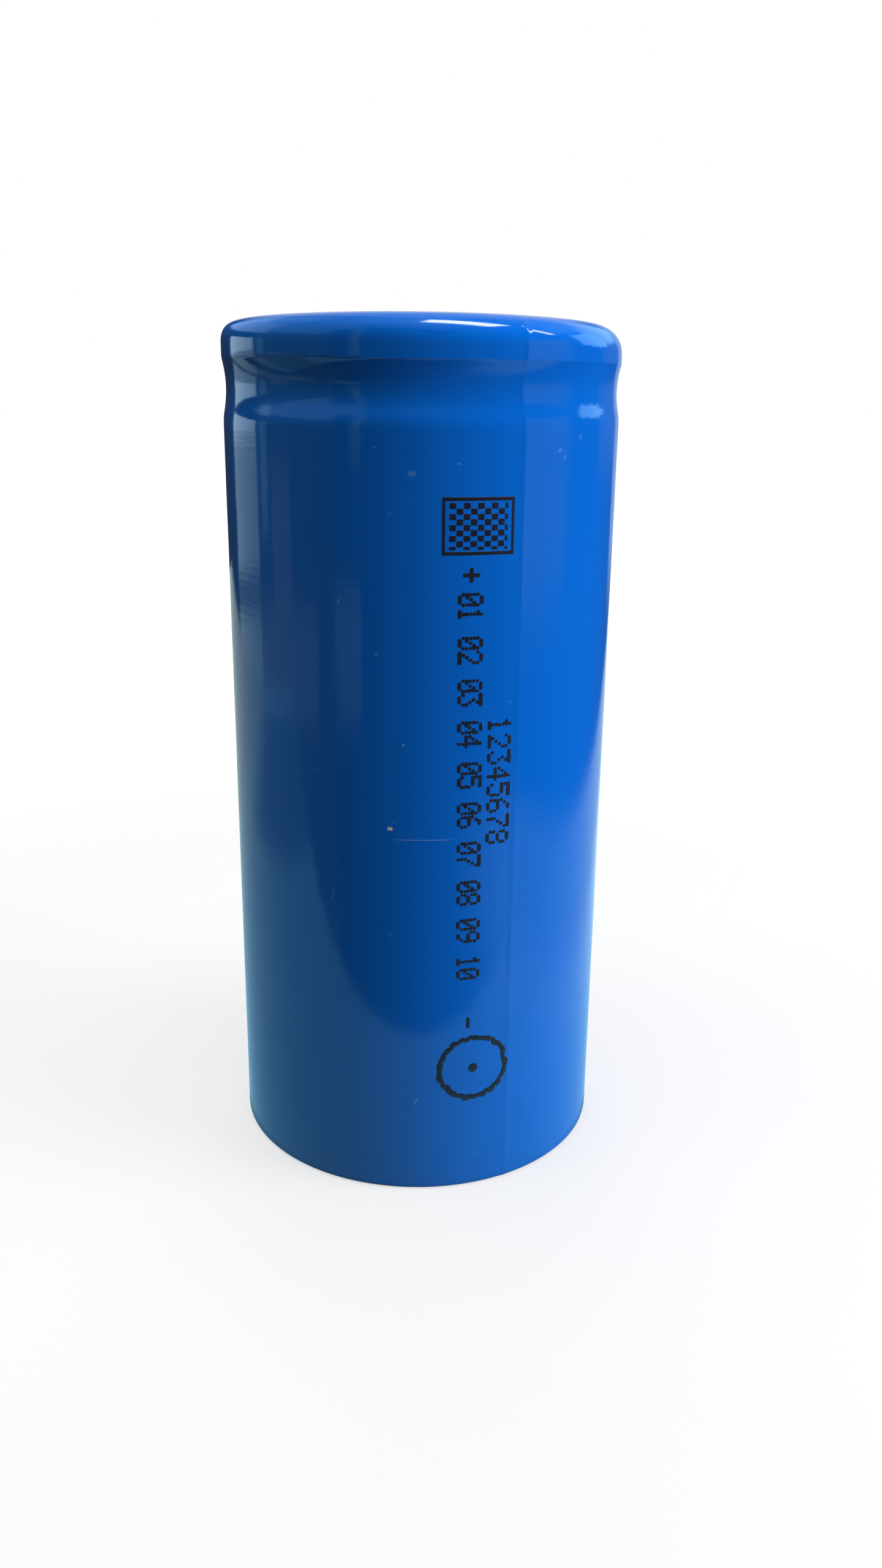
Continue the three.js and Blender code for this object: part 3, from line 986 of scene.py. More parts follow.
@dataclass
class Marks:
    """Printed marks: dots of ink that stand a few micrometres proud of the film.

    A place is a distance round the cell from its printed side and a height.
    """

    sleeve: Sleeve
    lines: tuple[NumberLine, ...]
    dot: float = 0.33
    sink: float = 0.006
    stand: float = 0.010
    top_share: float = 0.86
    end_steps: int = 4
    longest: float = 0.4
    shortest: float = 0.001
    row_shake: float = 0.015
    dot_shake: float = 0.02
    dot_widths: Span = (0.88, 1.08)
    plus_centre: Point = (3.76, 51.9)
    plus_size: Point = (1.37, 1.17)
    minus_centre: Point = (4.13, 15.46)
    minus_length: float = 1.06
    minus_width: float = 0.34
    block_corner: Point = (1.50, 57.45)
    block_size: Point = (5.55, 4.08)
    block_cells: int = 21
    block_margin: int = 2
    block_square: int = 2
    block_overlap: float = 1.45
    block_shake: float = 0.01
    ring_centre: Point = (4.63, 11.26)
    ring_reach: Point = (2.86, 2.78)
    ring_strokes: int = 46
    ring_stroke_share: float = 0.60
    ring_shake: float = 0.10
    ring_line: float = 0.60
    ring_widths: Span = (0.6, 1.0)
    ring_dot: float = 0.9
    ring_dot_length: float = 0.01
    seed: int = 7

    def on_film(self, around: float, height: float, lift: float) -> Vector:
        """A point at a lift over the film, by its distance round the cell and its height."""
        angle = math.degrees(around / self.sleeve.radius)
        return spot(angle, self.sleeve.radius_at(angle, height) + lift, height)

    def stroke(self, shape: Shape, start: Point, stop: Point, width: float) -> None:
        """Adds one stroke with round ends, in pieces short enough to follow the film.

        Args:
            shape: The shape that it goes into.
            start: Place of its first end's centre.
            stop: Place of its last end's centre.
            width: Its width.
        """
        first, last = Vector(start), Vector(stop)
        pieces = max(1, math.ceil(abs(last.x - first.x) / self.longest))
        for piece in range(pieces):
            self.dab(shape, first.lerp(last, piece / pieces),
                     first.lerp(last, (piece + 1) / pieces), width)

    def dab(self, shape: Shape, start: Vector, stop: Vector, width: float) -> None:
        """Adds one short straight piece of a stroke.

        Args:
            shape: The shape that it goes into.
            start: Centre of its first end.
            stop: Centre of its last end.
            width: Its width.
        """
        along = stop - start
        heading = math.atan2(along.y, along.x)
        outline = [(centre, heading + math.radians(first + 180 * step / self.end_steps))
                   for centre, first in ((stop, -90), (start, 90))
                   for step in range(self.end_steps + 1)]
        loops = []
        for share, lift in ((1.0, -self.sink), (self.top_share, self.stand)):
            reach = width / 2 * share
            loops.append([self.on_film(centre.x + math.cos(turn) * reach,
                                       centre.y + math.sin(turn) * reach, lift)
                          for centre, turn in outline])
        shape.prism(*loops)

    def number_line(self, shape: Shape, line: NumberLine, chance: random.Random) -> None:
        """Adds a line of numerals.

        Args:
            shape: The shape that it goes into.
            line: The line.
            chance: Source of the small differences between dots.
        """
        pitch = (line.top - line.foot) / len(line.text)
        for place, character in enumerate(line.text):
            base = line.start_arc + (line.end_arc - line.start_arc) * place / len(line.text)
            start = line.top - place * pitch
            rows = DIGITS[character]
            for rows_above, dots in zip(reversed(range(len(rows))), rows):
                around = base + rows_above * line.dot_rows
                around += chance.uniform(-self.row_shake, self.row_shake)
                for first, last in runs(dots):
                    shake = chance.uniform(-self.dot_shake, self.dot_shake)
                    top = start - first * line.dot_step + shake
                    foot = start - last * line.dot_step + shake - self.shortest
                    width = self.dot * chance.uniform(*self.dot_widths)
                    self.stroke(shape, (around, top), (around, foot), width)

    def block_dot(self, row: int, column: int) -> bool:
        """Whether the block has a dot: on its frame, and on every other square inside it.

        Args:
            row: The dot's row, from the top.
            column: The dot's column.

        Returns:
            Whether it is there.
        """
        cells, margin, square = self.block_cells, self.block_margin, self.block_square
        if row in (0, cells - 1) or column in (0, cells - 1):
            return True
        within = all(margin <= place < cells - margin for place in (row, column))
        return within and ((row - margin) // square + (column - margin) // square) % 2 == 0

    def block(self, shape: Shape, chance: random.Random) -> None:
        """Adds a plain framed grid of dots.

        Args:
            shape: The shape that it goes into.
            chance: Source of the small differences between dots.
        """
        cells = range(self.block_cells)
        wide, tall = (size / self.block_cells for size in self.block_size)
        left, top = self.block_corner
        for row in cells:
            dots = "".join("1" if self.block_dot(row, column) else "0" for column in cells)
            height = top - (row + 0.5) * tall + chance.uniform(-self.block_shake, self.block_shake)
            for first, last in runs(dots):
                start, stop = (left + (place + 0.5) * wide for place in (first, last))
                self.stroke(shape, (start, height), (stop + self.shortest, height),
                            tall * self.block_overlap)

    def plus(self, shape: Shape) -> None:
        """Adds the plus sign by the positive end.

        Args:
            shape: The shape that it goes into.
        """
        (around, height), (wide, tall) = self.plus_centre, self.plus_size
        half = self.dot / 2
        self.stroke(shape, (around - wide / 2 + half, height), (around + wide / 2 - half, height),
                    self.dot)
        for side in (-1, 1):
            self.stroke(shape, (around, height + side * half),
                        (around, height + side * (tall / 2 - half)), self.dot)

    def minus(self, shape: Shape) -> None:
        """Adds the minus sign by the negative end.

        Args:
            shape: The shape that it goes into.
        """
        around, height = self.minus_centre
        reach = (self.minus_length - self.minus_width) / 2
        self.stroke(shape, (around, height + reach), (around, height - reach), self.minus_width)

    def ring(self, shape: Shape, chance: random.Random) -> None:
        """Adds a plain ring of short strokes with a dot in the middle.

        Args:
            shape: The shape that it goes into.
            chance: Source of the small differences between strokes.
        """
        around, height = self.ring_centre
        step = 2 * math.pi / self.ring_strokes
        for index in range(self.ring_strokes):
            shake = chance.uniform(-self.ring_shake, self.ring_shake)
            wide, tall = (reach + shake for reach in self.ring_reach)
            ends = [(around + wide * math.cos(turn), height + tall * math.sin(turn))
                    for turn in (step * (index + side * self.ring_stroke_share / 2)
                                 for side in (-1, 1))]
            self.stroke(shape, *ends, self.ring_line * chance.uniform(*self.ring_widths))
        self.stroke(shape, (around, height), (around + self.ring_dot_length, height),
                    self.ring_dot)

    def build(self, ink: Sheet) -> bpy.types.Object:
        """Makes and dresses all the marks as one piece.

        Args:
            ink: Their finish.

        Returns:
            The piece.
        """
        chance = random.Random(self.seed)
        shape = Shape()
        for line in self.lines:
            self.number_line(shape, line, chance)
        self.block(shape, chance)
        self.plus(shape)
        self.minus(shape)
        self.ring(shape, chance)
        return settle(shape.piece("printed_marks", 0.0), ink.build(), "print_ink")


# Can, washer and cap


@dataclass
class SteelCan:
    """Deep-drawn can with a rolled bead, a crimped lip and a slightly dimpled floor."""

    radius: float = CAN.radius
    wall: float = 0.3
    floor: float = 0.4
    bottom: float = CAN.foot
    top: float = CAN.top
    foot_radius: float = 0.4
    floor_corner: float = 0.3
    crimp_radius: float = 2.3
    crimp_edge: float = 12.63
    crimp_chamfer: float = 0.08
    crimp_steps: int = 10
    bead_height: float = 64.6
    bead_depth: float = 2.6
    throat_radius: float = 1.1
    throat_steps: int = 14
    lower_radius: float = 1.4
    upper_radius: float = 1.5
    corner_steps: int = 8
    dimple_radius: float = 1.7
    dimple_depth: float = 0.07
    dimple_flat_share: float = 0.8
    ring_radius: float = 11.9
    ring_depth: float = 0.05
    ring_half_width: float = 0.25
    columns: int = 128

    def bead(self, skin: float) -> tuple[list[Point], list[Point], list[Point]]:
        """The bead's three arcs, from below upwards, for the face that lies a skin further in.

        Args:
            skin: Distance from the outer face.

        Returns:
            The lower corner, the throat and the upper corner.
        """
        throat = (self.radius - self.bead_depth + self.throat_radius, self.bead_height)
        lower = (self.radius - self.lower_radius,
                 self.bead_height - self.throat_radius - self.lower_radius)
        upper = (self.radius - self.upper_radius,
                 self.bead_height + self.throat_radius + self.upper_radius)
        small, wide, large = (self.lower_radius - skin, self.throat_radius + skin,
                              self.upper_radius - skin)
        return (arc(lower, (small, small), 0, 90, self.corner_steps),
                arc(throat, (wide, wide), 270, 90, self.throat_steps),
                arc(upper, (large, large), -90, 0, self.corner_steps))

    def section(self, _angle: float) -> list[Point]:
        """The closed section of the can, the same at every angle.

        Args:
            _angle: Angle round the cell.

        Returns:
            Its points, anticlockwise.
        """
        foot = (self.radius - self.foot_radius, self.bottom + self.foot_radius)
        crimp = (self.radius - self.crimp_radius, self.top - self.crimp_radius)
        inner_crimp = self.crimp_radius - self.wall
        outer, inner = self.bead(0.0), self.bead(self.wall)
        inner_wall, floor_top = self.radius - self.wall, self.bottom + self.floor
        dimple, ring = self.bottom + self.dimple_depth, self.bottom + self.ring_depth
        lip_under, chamfer = self.top - self.wall, self.crimp_chamfer
        return [
            (0.0, dimple), (self.dimple_radius * self.dimple_flat_share, dimple),
            (self.dimple_radius, self.bottom),
            (self.ring_radius - self.ring_half_width, self.bottom), (self.ring_radius, ring),
            (self.ring_radius + self.ring_half_width, self.bottom),
            *arc(foot, (self.foot_radius, self.foot_radius), -90, 0, self.corner_steps),
            *outer[0], *outer[1][1:-1], *outer[2],
            *arc(crimp, (self.crimp_radius, self.crimp_radius), 0, 90, self.crimp_steps),
            (self.crimp_edge + chamfer, self.top), (self.crimp_edge, self.top - chamfer),
            (self.crimp_edge, lip_under + chamfer), (self.crimp_edge + chamfer, lip_under),
            *arc(crimp, (inner_crimp, inner_crimp), 90, 0, self.corner_steps),
            *inner[2][::-1], *inner[1][1:-1][::-1], *inner[0][::-1],
            (inner_wall, floor_top + self.floor_corner),
            (inner_wall - self.floor_corner, floor_top), (0.0, floor_top),
        ]

    def build(self, steel: Metal) -> bpy.types.Object:
        """Makes and dresses the can.

        Args:
            steel: Its finish.

        Returns:
            The piece.
        """
        piece = Shape().turn(self.section, even_angles(self.columns)).piece("can_shell")
        return settle(piece, steel.build(), "plated_steel", "can")


@dataclass
class TopWasher:
    """Thin board washer between the crimp and the sleeve's lip."""

    inner: float = 9.0
    outer: float = 13.2
    start: float = 12.2
    bottom: float = CAN.top + 0.03
    thickness: float = 0.23
    edge: float = 0.05
    edge_steps: int = 3
    cut_waves: tuple[Wave, ...] = (Wave(5, size=0.03), Wave(11, phase=1.0, size=0.02))
    columns: int = 128

    def section(self, angle: float) -> list[Point]:
        """The closed section of the washer, its inner edge cut slightly unevenly.

        Args:
            angle: Angle round the cell.

        Returns:
            Its points, anticlockwise.
        """
        inner = self.inner + sum(wave.at(angle) for wave in self.cut_waves)
        top = self.bottom + self.thickness
        loop = [(self.start, self.bottom), (self.outer, self.bottom), (self.outer, top),
                (inner, top), (inner, self.bottom), (self.start, self.bottom)]
        return rounded(loop, self.edge, self.edge_steps)[:-1]

    def build(self, board: Sheet) -> bpy.types.Object:
        """Makes and dresses the washer.

        Args:
            board: Its finish.

        Returns:
            The piece.
        """
        piece = Shape().turn(self.section, even_angles(self.columns)).piece("top_washer")
        return settle(piece, board.build(), "fibre_board", "top_insulating_ring")


@dataclass
class ContactCap:
    """Pressed cap: a clamped flange, a sloping skirt with vent slots and the raised contact."""

    thickness: float = 0.8
    flange_radius: float = CAP.radius
    flange_bottom: float = CAP.foot
    face: float = CAP.top
    contact_radius: float = 6.2
    edge_radius: float = 0.6
    edge_steps: int = 8
    bend_radius: float = 0.3
    bend_steps: int = 4
    skirt_spread: float = 2.1
    vent_count: int = 4
    vent_length: float = 4.2
    vent_width: float = 1.3
    vent_end_steps: int = 10
    cutter_overrun: float = 1.0
    press_radius: float = 3.4
    press_depth: float = 0.04
    press_slope: float = 0.15
    columns: int = 144

    def section(self, _angle: float) -> list[Point]:
        """The closed section of the cap, the same at every angle.

        Args:
            _angle: Angle round the cell.

        Returns:
            Its points, anticlockwise.
        """
        skirt = self.contact_radius + self.skirt_spread
        under, flange_top = self.face - self.thickness, self.flange_bottom + self.thickness
        lower = rounded([(0.0, under), (self.contact_radius - self.thickness, under),
                         (skirt - self.thickness, self.flange_bottom),
                         (self.flange_radius, self.flange_bottom),
                         (self.flange_radius, flange_top), (skirt, flange_top),
                         (self.contact_radius, self.face - self.edge_radius)],
                        self.bend_radius, self.bend_steps)
        centre = (self.contact_radius - self.edge_radius, self.face - self.edge_radius)
        edge = (self.edge_radius, self.edge_radius)
        pressed = self.face - self.press_depth
        return [*lower[:-1], *arc(centre, edge, 0, 90, self.edge_steps),
                (self.press_radius + self.press_slope, self.face),
                (self.press_radius, pressed), (0.0, pressed)]

    def vents(self) -> bpy.types.Object:
        """Makes the upright cutters of the vent slots.

        Returns:
            The cutters, as one object.
        """
        shape = Shape()
        middle = self.contact_radius + self.skirt_spread / 2
        round_end = self.vent_width / 2
        reach = self.vent_length / 2 - round_end
        outline = (arc((middle, reach), (round_end, round_end), 0, 180, self.vent_end_steps)
                   + arc((middle, -reach), (round_end, round_end), 180, 360,
                         self.vent_end_steps))
        heights = (self.flange_bottom - self.cutter_overrun, self.face + self.cutter_overrun)
        for index in range(self.vent_count):
            angle = math.radians(FULL_TURN * (index + 0.5) / self.vent_count)
            turn = Matrix.Rotation(angle, 3, "Z")
            shape.prism(*([turn @ Vector((x, y, height)) * MM for x, y in outline]
                          for height in heights))
        return shape.piece("vent_cutters", 0.0)

    def build(self, plate: Metal) -> bpy.types.Object:
        """Makes and dresses the cap.

        Args:
            plate: Its finish.

        Returns:
            The piece.
        """
        blank = Shape().turn(self.section, even_angles(self.columns)).piece("contact_blank")
        cutters = self.vents()
        cut = blank.modifiers.new("vents", "BOOLEAN")
        cut.operation, cut.solver, cut.object = "DIFFERENCE", "EXACT", cutters
        graph = bpy.context.evaluated_depsgraph_get()
        mesh = bpy.data.meshes.new_from_object(blank.evaluated_get(graph))
        for spent in (blank, cutters):
            bpy.data.objects.remove(spent)
        return settle(show("contact_cap", mesh), plate.build(), "nickel_plate", "positive_cap")


@dataclass
class InnerWorks:
    """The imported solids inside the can, which keep their shapes and get finishes."""

    finishes: tuple[Union[Metal, Sheet], ...]

    def dress(self) -> None:
        """Gives each solid the finish that has the name of its slot."""
        finishes = {finish.name: finish for finish in self.finishes}
        slots = {row["node"]: row["material_slot"] for row in frame["record"]["subparts"]}
        made: dict[str, bpy.types.Material] = {}
        for name, piece in frame["nodes"].items():
            if piece.hide_render:
                continue
            slot = slots[name]
            if slot not in made:
                made[slot] = finishes[slot].build()
            for place in piece.material_slots:
                place.material = made[slot]
            LOG.info("solid %s: %s", name, made[slot].name)


# Camera, light and floor


@dataclass(frozen=True)
class PhotoCamera:
    """The camera of the photograph."""

    lens: float = 28.802
    sensor: float = 36.0
    distance: float = 107.564
    height: float = 64.669
    pitch: float = 17.364
    yaw: float = 1.038
    roll: float = 0.667
    clip: Span = (5.0, 20000.0)

    def build(self) -> bpy.types.Object:
        """Makes the camera and makes it the scene's.

        Returns:
            The camera.
        """
        data = bpy.data.cameras.new("photo_camera")
        data.lens, data.sensor_width, data.sensor_fit = self.lens, self.sensor, "AUTO"
        data.clip_start, data.clip_end = (end * MM for end in self.clip)
        camera = show("photo_camera", data)
        pitch, yaw, roll = (math.radians(part) for part in (self.pitch, self.yaw, self.roll))
        right = Vector((math.cos(yaw), -math.sin(yaw), 0.0))
        ahead = Vector((math.sin(yaw) * math.cos(pitch), math.cos(yaw) * math.cos(pitch),
                        -math.sin(pitch)))
        up = right.cross(ahead)
        across = right * math.cos(roll) + up * math.sin(roll)
        upright = up * math.cos(roll) - right * math.sin(roll)
        turn = Matrix((across, upright, -ahead)).transposed().to_4x4()
        place = Vector((0.0, -self.distance, self.height)) * MM
        camera.matrix_world = Matrix.Translation(place) @ turn
        bpy.context.scene.camera = camera
        LOG.info("camera %s", camera.name)
        return camera


@dataclass(frozen=True)
class Lamp:
    """A soft rectangular lamp that faces the cell; its distance and size are in metres."""

    name: str
    azimuth: float
    elevation: float
    distance: float
    size: Point
    level: float
    in_gloss: bool = False
    tint: Rgb = WHITE
    aim_height: float = SLEEVE.top / 2

    def build(self) -> bpy.types.Object:
        """Makes the lamp. A face turned to it is lit as by a white world of the lamp's level.

        Returns:
            The lamp.
        """
        data = bpy.data.lights.new(self.name, "AREA")
        data.shape, data.size, data.size_y = "RECTANGLE", *self.size
        data.energy = self.level * (math.pi * self.distance) ** 2
        data.color = self.tint
        lamp = show(self.name, data)
        azimuth, elevation = math.radians(self.azimuth), math.radians(self.elevation)
        away = Vector((math.sin(azimuth) * math.cos(elevation),
                       -math.cos(azimuth) * math.cos(elevation), math.sin(elevation)))
        lamp.location = Vector((0.0, 0.0, self.aim_height)) * MM + away * self.distance
        lamp.rotation_euler = away.to_track_quat("Z", "Y").to_euler()
        lamp.visible_camera = False
        lamp.visible_glossy = self.in_gloss
        lamp.visible_diffuse = not self.in_gloss
        LOG.info("lamp %s", lamp.name)
        return lamp


@dataclass(frozen=True)
class Pane:
    """A patch of the room that only gloss shows, between two azimuths and two elevations."""

    azimuth: Span
    elevation: Span
    soft: float
    colour: Rgb


@dataclass(frozen=True)
class Room:
    """Surroundings: white for the camera, plain for matt faces, a room of panes for gloss."""

    panes: tuple[Pane, ...]
    walls: float = 0.03
    above: float = 0.055
    below: float = 0.10
    horizon: float = 0.3

    def build(self) -> None:
        """Makes the world."""
        world = bpy.data.worlds.new("studio_room")
        world.use_nodes = True
        bpy.context.scene.world = world
        graph = Graph(world.node_tree)
        x, y, z = graph.split(graph.add("ShaderNodeTexCoord", output="Generated"))
        azimuth = graph.turn(x, y) * math.degrees(1.0)
        elevation = graph.maths("ARCSINE", z) * math.degrees(1.0)
        room: Value = grey(self.walls)
        for pane in self.panes:
            mask = (azimuth.between(*pane.azimuth, pane.soft)
                    * elevation.between(*pane.elevation, pane.soft))
            room = graph.blend(mask, room, pane.colour)
        path = graph.add("ShaderNodeLightPath", output="Is Camera Ray")
        glossy, through = (Signal(graph, path.socket.node.outputs[name])
                           for name in ("Is Glossy Ray", "Is Transmission Ray"))
        plain = graph.blend(z.ramp(self.horizon, -self.horizon), grey(self.above),
                            grey(self.below))
        unseen = graph.blend(glossy.at_least(through), plain, room)
        colour = graph.blend(path, unseen, WHITE)
        background = graph.add("ShaderNodeBackground", sockets={"Color": colour})
        graph.add("ShaderNodeOutputWorld", sockets={"Surface": background})
        LOG.info("room of %d panes", len(self.panes))


@dataclass(frozen=True)
class Floor:
    """White floor that keeps the shadow. Gloss sees a pale work top there, with clear ends.

    A span of places holds where a ramp is nought and where it is one.
    """

    half_size: float = 1500.0
    sink: float = 0.02
    glow: float = 0.62
    full_glow: Span = (70.0, 260.0)
    matt: float = 0.36
    foot: Span = (15.5, 17.0)
    front: Span = (-44.5, -41.5)
    back: Span = (351.5, 348.5)
    left: Span = (-210.0, -170.0)
    right: Span = (118.0, 88.0)
    corner_x: Span = (15.0, 70.0)
    corner_y: Span = (-125.0, -45.0)
    beside: Span = (38.0, 62.0)
    beside_loss: float = 0.35
    near_colour: Rgb = (0.24, 0.60, 0.85)
    far_left_colour: Rgb = (0.44, 0.57, 0.55)
    far_colour: Rgb = (0.80, 1.15, 1.20)
    middle: Span = (-20.0, 20.0)
    depth: Span = (-35.0, 130.0)
    right_side: Span = (15.0, 60.0)
    right_side_share: float = 0.42
    dim_colour: Rgb = grey(0.05)
    dim_x: Span = (-170.0, -85.0)
    dim_soft: float = 20.0
    dim_y: Span = (60.0, 20.0)
    dim_share: float = 0.6

    def mirrored(self, graph: Graph, x: Signal, y: Signal) -> tuple[Signal, Signal]:
        """What gloss sees on the floor.

        Args:
            graph: The floor's graph.
            x: Place across the photograph's view.
            y: Place along it.

        Returns:
            How much of the work top is there, and its colour.
        """
        corner = x.ramp(*self.corner_x) * y.ramp(*self.corner_y)
        there = (y.ramp(*self.front).at_least(corner) * y.ramp(*self.back)
                 * graph.reach(x, y).ramp(*self.foot) * x.ramp(*self.left)
                 * (1.0 - x.ramp(*self.beside) * self.beside_loss) * x.ramp(*self.right))
        depth = y.ramp(*self.depth) + x.ramp(*self.right_side) * self.right_side_share
        far = graph.blend(x.ramp(*self.middle), self.far_left_colour, self.far_colour)
        dim = x.between(*self.dim_x, self.dim_soft) * y.ramp(*self.dim_y) * self.dim_share
        plain = graph.blend(depth, self.near_colour, far)
        return there, graph.blend(dim, plain, self.dim_colour)

    def material(self) -> bpy.types.Material:
        """Makes the material: it glows, takes the shadow and can't be seen from below.

        Returns:
            The material.
        """
        material, graph = new_material("studio_floor")
        x, y, _ = graph.place()
        there, colour = self.mirrored(graph, x, y)
        mirrored = graph.add("ShaderNodeEmission", sockets={"Color": colour})
        clear = graph.add("ShaderNodeBsdfTransparent")
        in_gloss = graph.add("ShaderNodeMixShader", sockets={0: there, 1: clear, 2: mirrored})
        glow = self.glow + graph.reach(x, y).ramp(*self.full_glow) * (1.0 - self.glow)
        white = graph.add("ShaderNodeEmission", sockets={"Color": WHITE, "Strength": glow})
        matt = graph.add("ShaderNodeBsdfDiffuse", sockets={"Color": grey(self.matt)})
        seen = graph.add("ShaderNodeAddShader", sockets={0: white, 1: matt})
        path = graph.add("ShaderNodeLightPath", output="Is Camera Ray")
        top = graph.add("ShaderNodeMixShader", sockets={0: path, 1: in_gloss, 2: seen})
        below = graph.add("ShaderNodeNewGeometry", output="Backfacing")
        surface = graph.add("ShaderNodeMixShader", sockets={0: below, 1: top, 2: clear})
        graph.add("ShaderNodeOutputMaterial", sockets={"Surface": surface})
        return material

    def build(self) -> bpy.types.Object:
        """Makes the floor, just under the cell's foot.

        Returns:
            The floor.
        """
        half = self.half_size * MM
        mesh = bpy.data.meshes.new("floor")
        mesh.from_pydata([(-half, -half, 0.0), (half, -half, 0.0), (half, half, 0.0),
                          (-half, half, 0.0)], [], [(0, 1, 2, 3)])
        mesh.materials.append(self.material())
        floor = show("floor", mesh)
        floor.location.z = -self.sink * MM
        floor.visible_diffuse = False
        LOG.info("stage %s", floor.name)
        return floor


# Settings


# Panes run a little past the back, so that their soft ends don't show there.
BACK = 190.0
ALL_ROUND = (-BACK, BACK)


def behind(azimuth: float, elevation: Span, soft: float, colour: Rgb) -> tuple[Pane, Pane]:
    """The two halves of a pane across the back of the room, from an azimuth on either side."""
    return (Pane((-BACK, -azimuth), elevation, soft, colour),
            Pane((azimuth, BACK), elevation, soft, colour))


LAMPS = (
    Lamp("key", 74.0, 9.0, 0.5, (0.3, 0.3), 1.12),
    Lamp("top", -30.0, 84.0, 0.6, (0.5, 0.5), 0.86),
    Lamp("back", 180.0, 20.0, 0.6, (0.4, 0.4), 0.32),
    Lamp("left_wall", -75.0, 15.0, 0.5, (0.3, 0.3), 0.075, tint=(0.3, 1.0, 0.3)),
    Lamp("overhead_strip", 80.2, 75.9, 0.66, (0.17, 0.29), 0.54, in_gloss=True),
)
UNDER_CELL = (
    Pane(ALL_ROUND, (-100.0, -66.0), 6.0, (0.45, 0.47, 0.50)),
    *behind(105.0, (-66.0, -38.0), 6.0, (0.45, 0.47, 0.50)),
)
CEILING = (
    Pane(ALL_ROUND, (66.0, 100.0), 10.0, (0.20, 0.42, 0.70)),
    *behind(120.0, (25.0, 66.0), 10.0, grey(0.18)),
    Pane((-125.0, -40.0), (36.0, 66.0), 10.0, (0.22, 0.38, 0.45)),
    Pane((-150.0, -108.0), (34.0, 60.0), 10.0, (0.35, 0.62, 0.75)),
    Pane((-40.0, 60.0), (50.0, 66.0), 10.0, grey(0.12)),
    Pane((98.0, 165.0), (36.0, 56.0), 10.0, (0.30, 0.50, 0.60)),
    Pane((126.0, 160.0), (12.0, 36.0), 8.0, (0.75, 1.25, 1.45)),
)
BACK_WALL = (
    *behind(158.0, (22.0, 72.0), 8.0, (0.50, 0.66, 0.78)),
    *behind(168.0, (-6.0, 30.0), 6.0, grey(0.80)),
)
RIGHT_STREAK = (Pane((88.0, 93.0), (36.0, 54.0), 1.0, grey(14.0)),)
LEFT_WALL = (
    Pane((-107.0, -50.0), (-40.0, 34.0), 3.0, (0.08, 0.09, 0.09)),
    Pane((-155.0, -98.0), (16.0, 40.0), 4.0, (0.60, 1.00, 1.45)),
    Pane((-100.0, -55.0), (19.0, 40.0), 4.0, (0.26, 0.48, 0.76)),
    Pane((-95.0, -80.0), (-14.0, -3.0), 2.0, (0.22, 0.24, 0.25)),
    Pane((-107.0, -62.0), (-14.8, -9.5), 2.0, (0.24, 0.30, 0.30)),
)
LEFT_WINDOW = (
    Pane((-136.0, -107.5), (-14.5, -9.3), 2.0, (0.46, 0.70, 0.75)),
    Pane((-136.0, -107.5), (-8.0, 6.5), 2.0, (0.54, 0.80, 0.95)),
    Pane((-136.0, -108.0), (-2.0, 6.5), 1.0, (1.20, 1.70, 2.10)),
    Pane((-104.0, -98.0), (-6.0, 6.5), 1.5, (0.22, 0.52, 0.78)),
    Pane((-50.0, -34.5), (-14.5, -8.5), 1.5, (0.20, 0.32, 0.36)),
    Pane((-40.0, -34.0), (-3.0, 40.0), 1.0, (0.20, 0.32, 0.36)),
)
RIGHT_WINDOW = (
    Pane((104.0, 113.5), (13.0, 32.0), 1.0, (0.90, 1.90, 2.30)),
    Pane((112.5, 121.5), (10.5, 32.0), 1.0, (0.90, 1.90, 2.30)),
    Pane((120.5, 131.0), (8.0, 32.0), 1.0, (0.90, 1.90, 2.30)),
    Pane((122.0, 150.0), (-3.0, 10.0), 3.0, (0.12, 0.13, 0.14)),
    Pane((150.0, 172.0), (-8.0, 16.0), 5.0, (0.40, 0.55, 0.68)),
)
PANES = (*UNDER_CELL, *CEILING, *BACK_WALL, *RIGHT_STREAK, *LEFT_WALL, *LEFT_WINDOW,
         *RIGHT_WINDOW)
LINES = (
    NumberLine("01 02 03 04 05 06 07 08 09 10  ", 50.5, 17.0, 2.9, 3.24, 0.28, 0.19),
    NumberLine("12345678", 40.9, 30.5, 5.43, 5.43, 0.285, 0.215),
)
STEEL = Metal("plated_steel", (0.62, 0.62, 0.61), 0.28, Grain.DRAWN)
NICKEL = Metal("nickel_plate", (0.66, 0.64, 0.60), 0.2, Grain.TURNED, tarnish_share=0.14)
ALUMINIUM = Metal("aluminium_sheet", (0.80, 0.81, 0.82), 0.34, Grain.ROLLED)
BOARD = Sheet("fibre_board", (0.76, 0.75, 0.70), (0.58, 0.56, 0.50), 0.8, 3.0, 0.02,
              pulls=(1.0, 0.35, 1.0))
GASKET = Sheet("gasket_plastic", (0.030, 0.030, 0.035), (0.020, 0.020, 0.024), 0.5, 4.0, 0.01)
MILKY = Sheet("clear_plastic", (0.85, 0.86, 0.86), (0.78, 0.80, 0.81), 0.4, 2.0, 0.01)
ANODE = Sheet("anode_coating", (0.070, 0.060, 0.060), (0.045, 0.040, 0.042), 0.75, 12.0, 0.01)
CATHODE = Sheet("cathode_coating", (0.030, 0.030, 0.033), (0.020, 0.020, 0.022), 0.8, 14.0, 0.01)
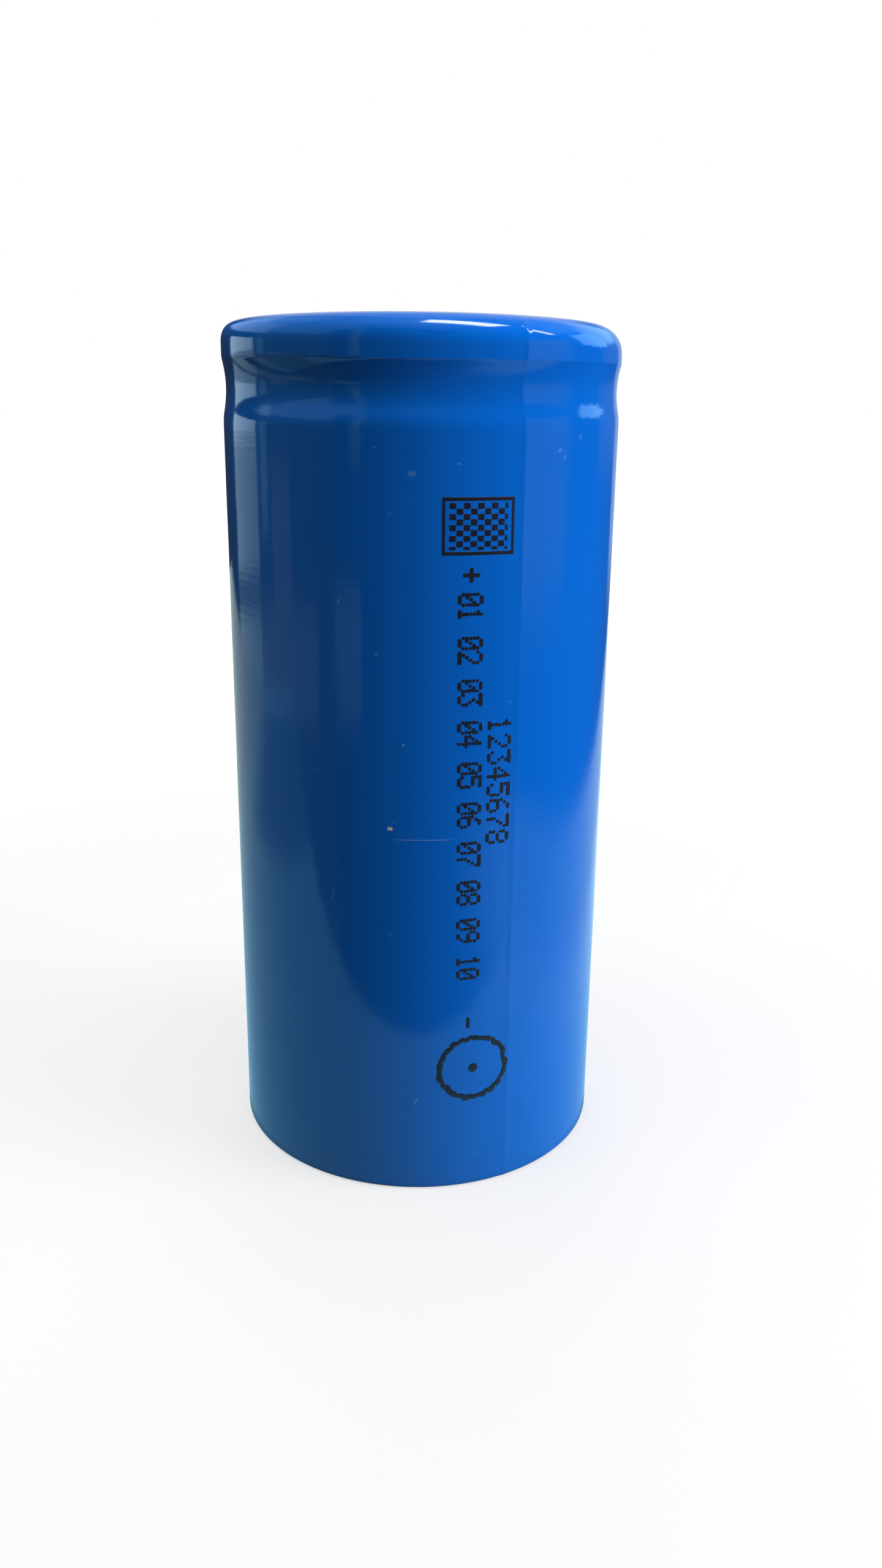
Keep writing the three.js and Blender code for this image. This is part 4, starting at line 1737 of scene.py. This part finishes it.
SEPARATOR = Sheet("separator_film", (0.88, 0.88, 0.87), (0.80, 0.81, 0.82), 0.45, 1.5, 0.008,
                  pulls=(1.0, 1.0, 0.2))
TAPE = Sheet("amber_tape", (0.55, 0.27, 0.04), (0.44, 0.20, 0.03), 0.22, 2.5, 0.006)
INK = Sheet("print_ink", (0.007, 0.010, 0.020), (0.012, 0.018, 0.034), 0.45, 6.0, 0.004)
NICKS = (
    Nick(-2.26, 32.35, 0.5, 0.42, strength=1.0, colour=(0.85, 0.80, 0.62)),
    Nick(0.32, 31.47, 5.2, 0.14, 0.0, 0.38),
    Nick(-6.23, 49.77, 0.6, 0.16, 70.0, 0.45),
    Nick(-3.27, 46.01, 0.35, 0.18, 50.0, 0.4),
    Nick(-1.23, 39.12, 0.3, 0.25, 0.0, 0.5),
    Nick(-7.08, 26.24, 1.3, 0.14, 80.0, 0.35),
    Nick(-0.13, 8.46, 0.9, 0.13, 60.0, 0.45),
    Nick(-0.67, 59.10, 0.7, 0.6, 0.0, 0.22),
    Nick(11.05, 60.65, 0.5, 0.4, 20.0, 0.18),
    Nick(11.55, 60.15, 0.4, 0.5, 20.0, 0.15),
    Nick(13.3, 61.55, 0.5, 0.7, 0.0, 0.12),
    Nick(2.69, 59.81, 0.3, 0.25, 0.0, 0.25),
    Nick(-2.29, 56.28, 0.3, 0.22, 0.0, 0.22),
    Nick(-3.39, 60.87, 0.3, 0.22, 0.0, 0.22),
)


def main() -> None:
    """Builds the camera, the studio and the cell, piece by piece."""
    logging.basicConfig(level=logging.INFO, format="%(name)s: %(message)s")
    bpy.context.scene.view_settings.view_transform = "Standard"
    PhotoCamera().build()
    Room(PANES).build()
    for lamp in LAMPS:
        lamp.build()
    Floor().build()
    sleeve = Sleeve()
    sleeve.build(ShrinkFilm(nicks=NICKS))
    Marks(sleeve, LINES).build(INK)
    SteelCan().build(STEEL)
    TopWasher().build(BOARD)
    ContactCap().build(NICKEL)
    InnerWorks((GASKET, ALUMINIUM, MILKY, ANODE, CATHODE, SEPARATOR, TAPE, BOARD,
                NICKEL)).dress()


if __name__ == "__main__":
    main()
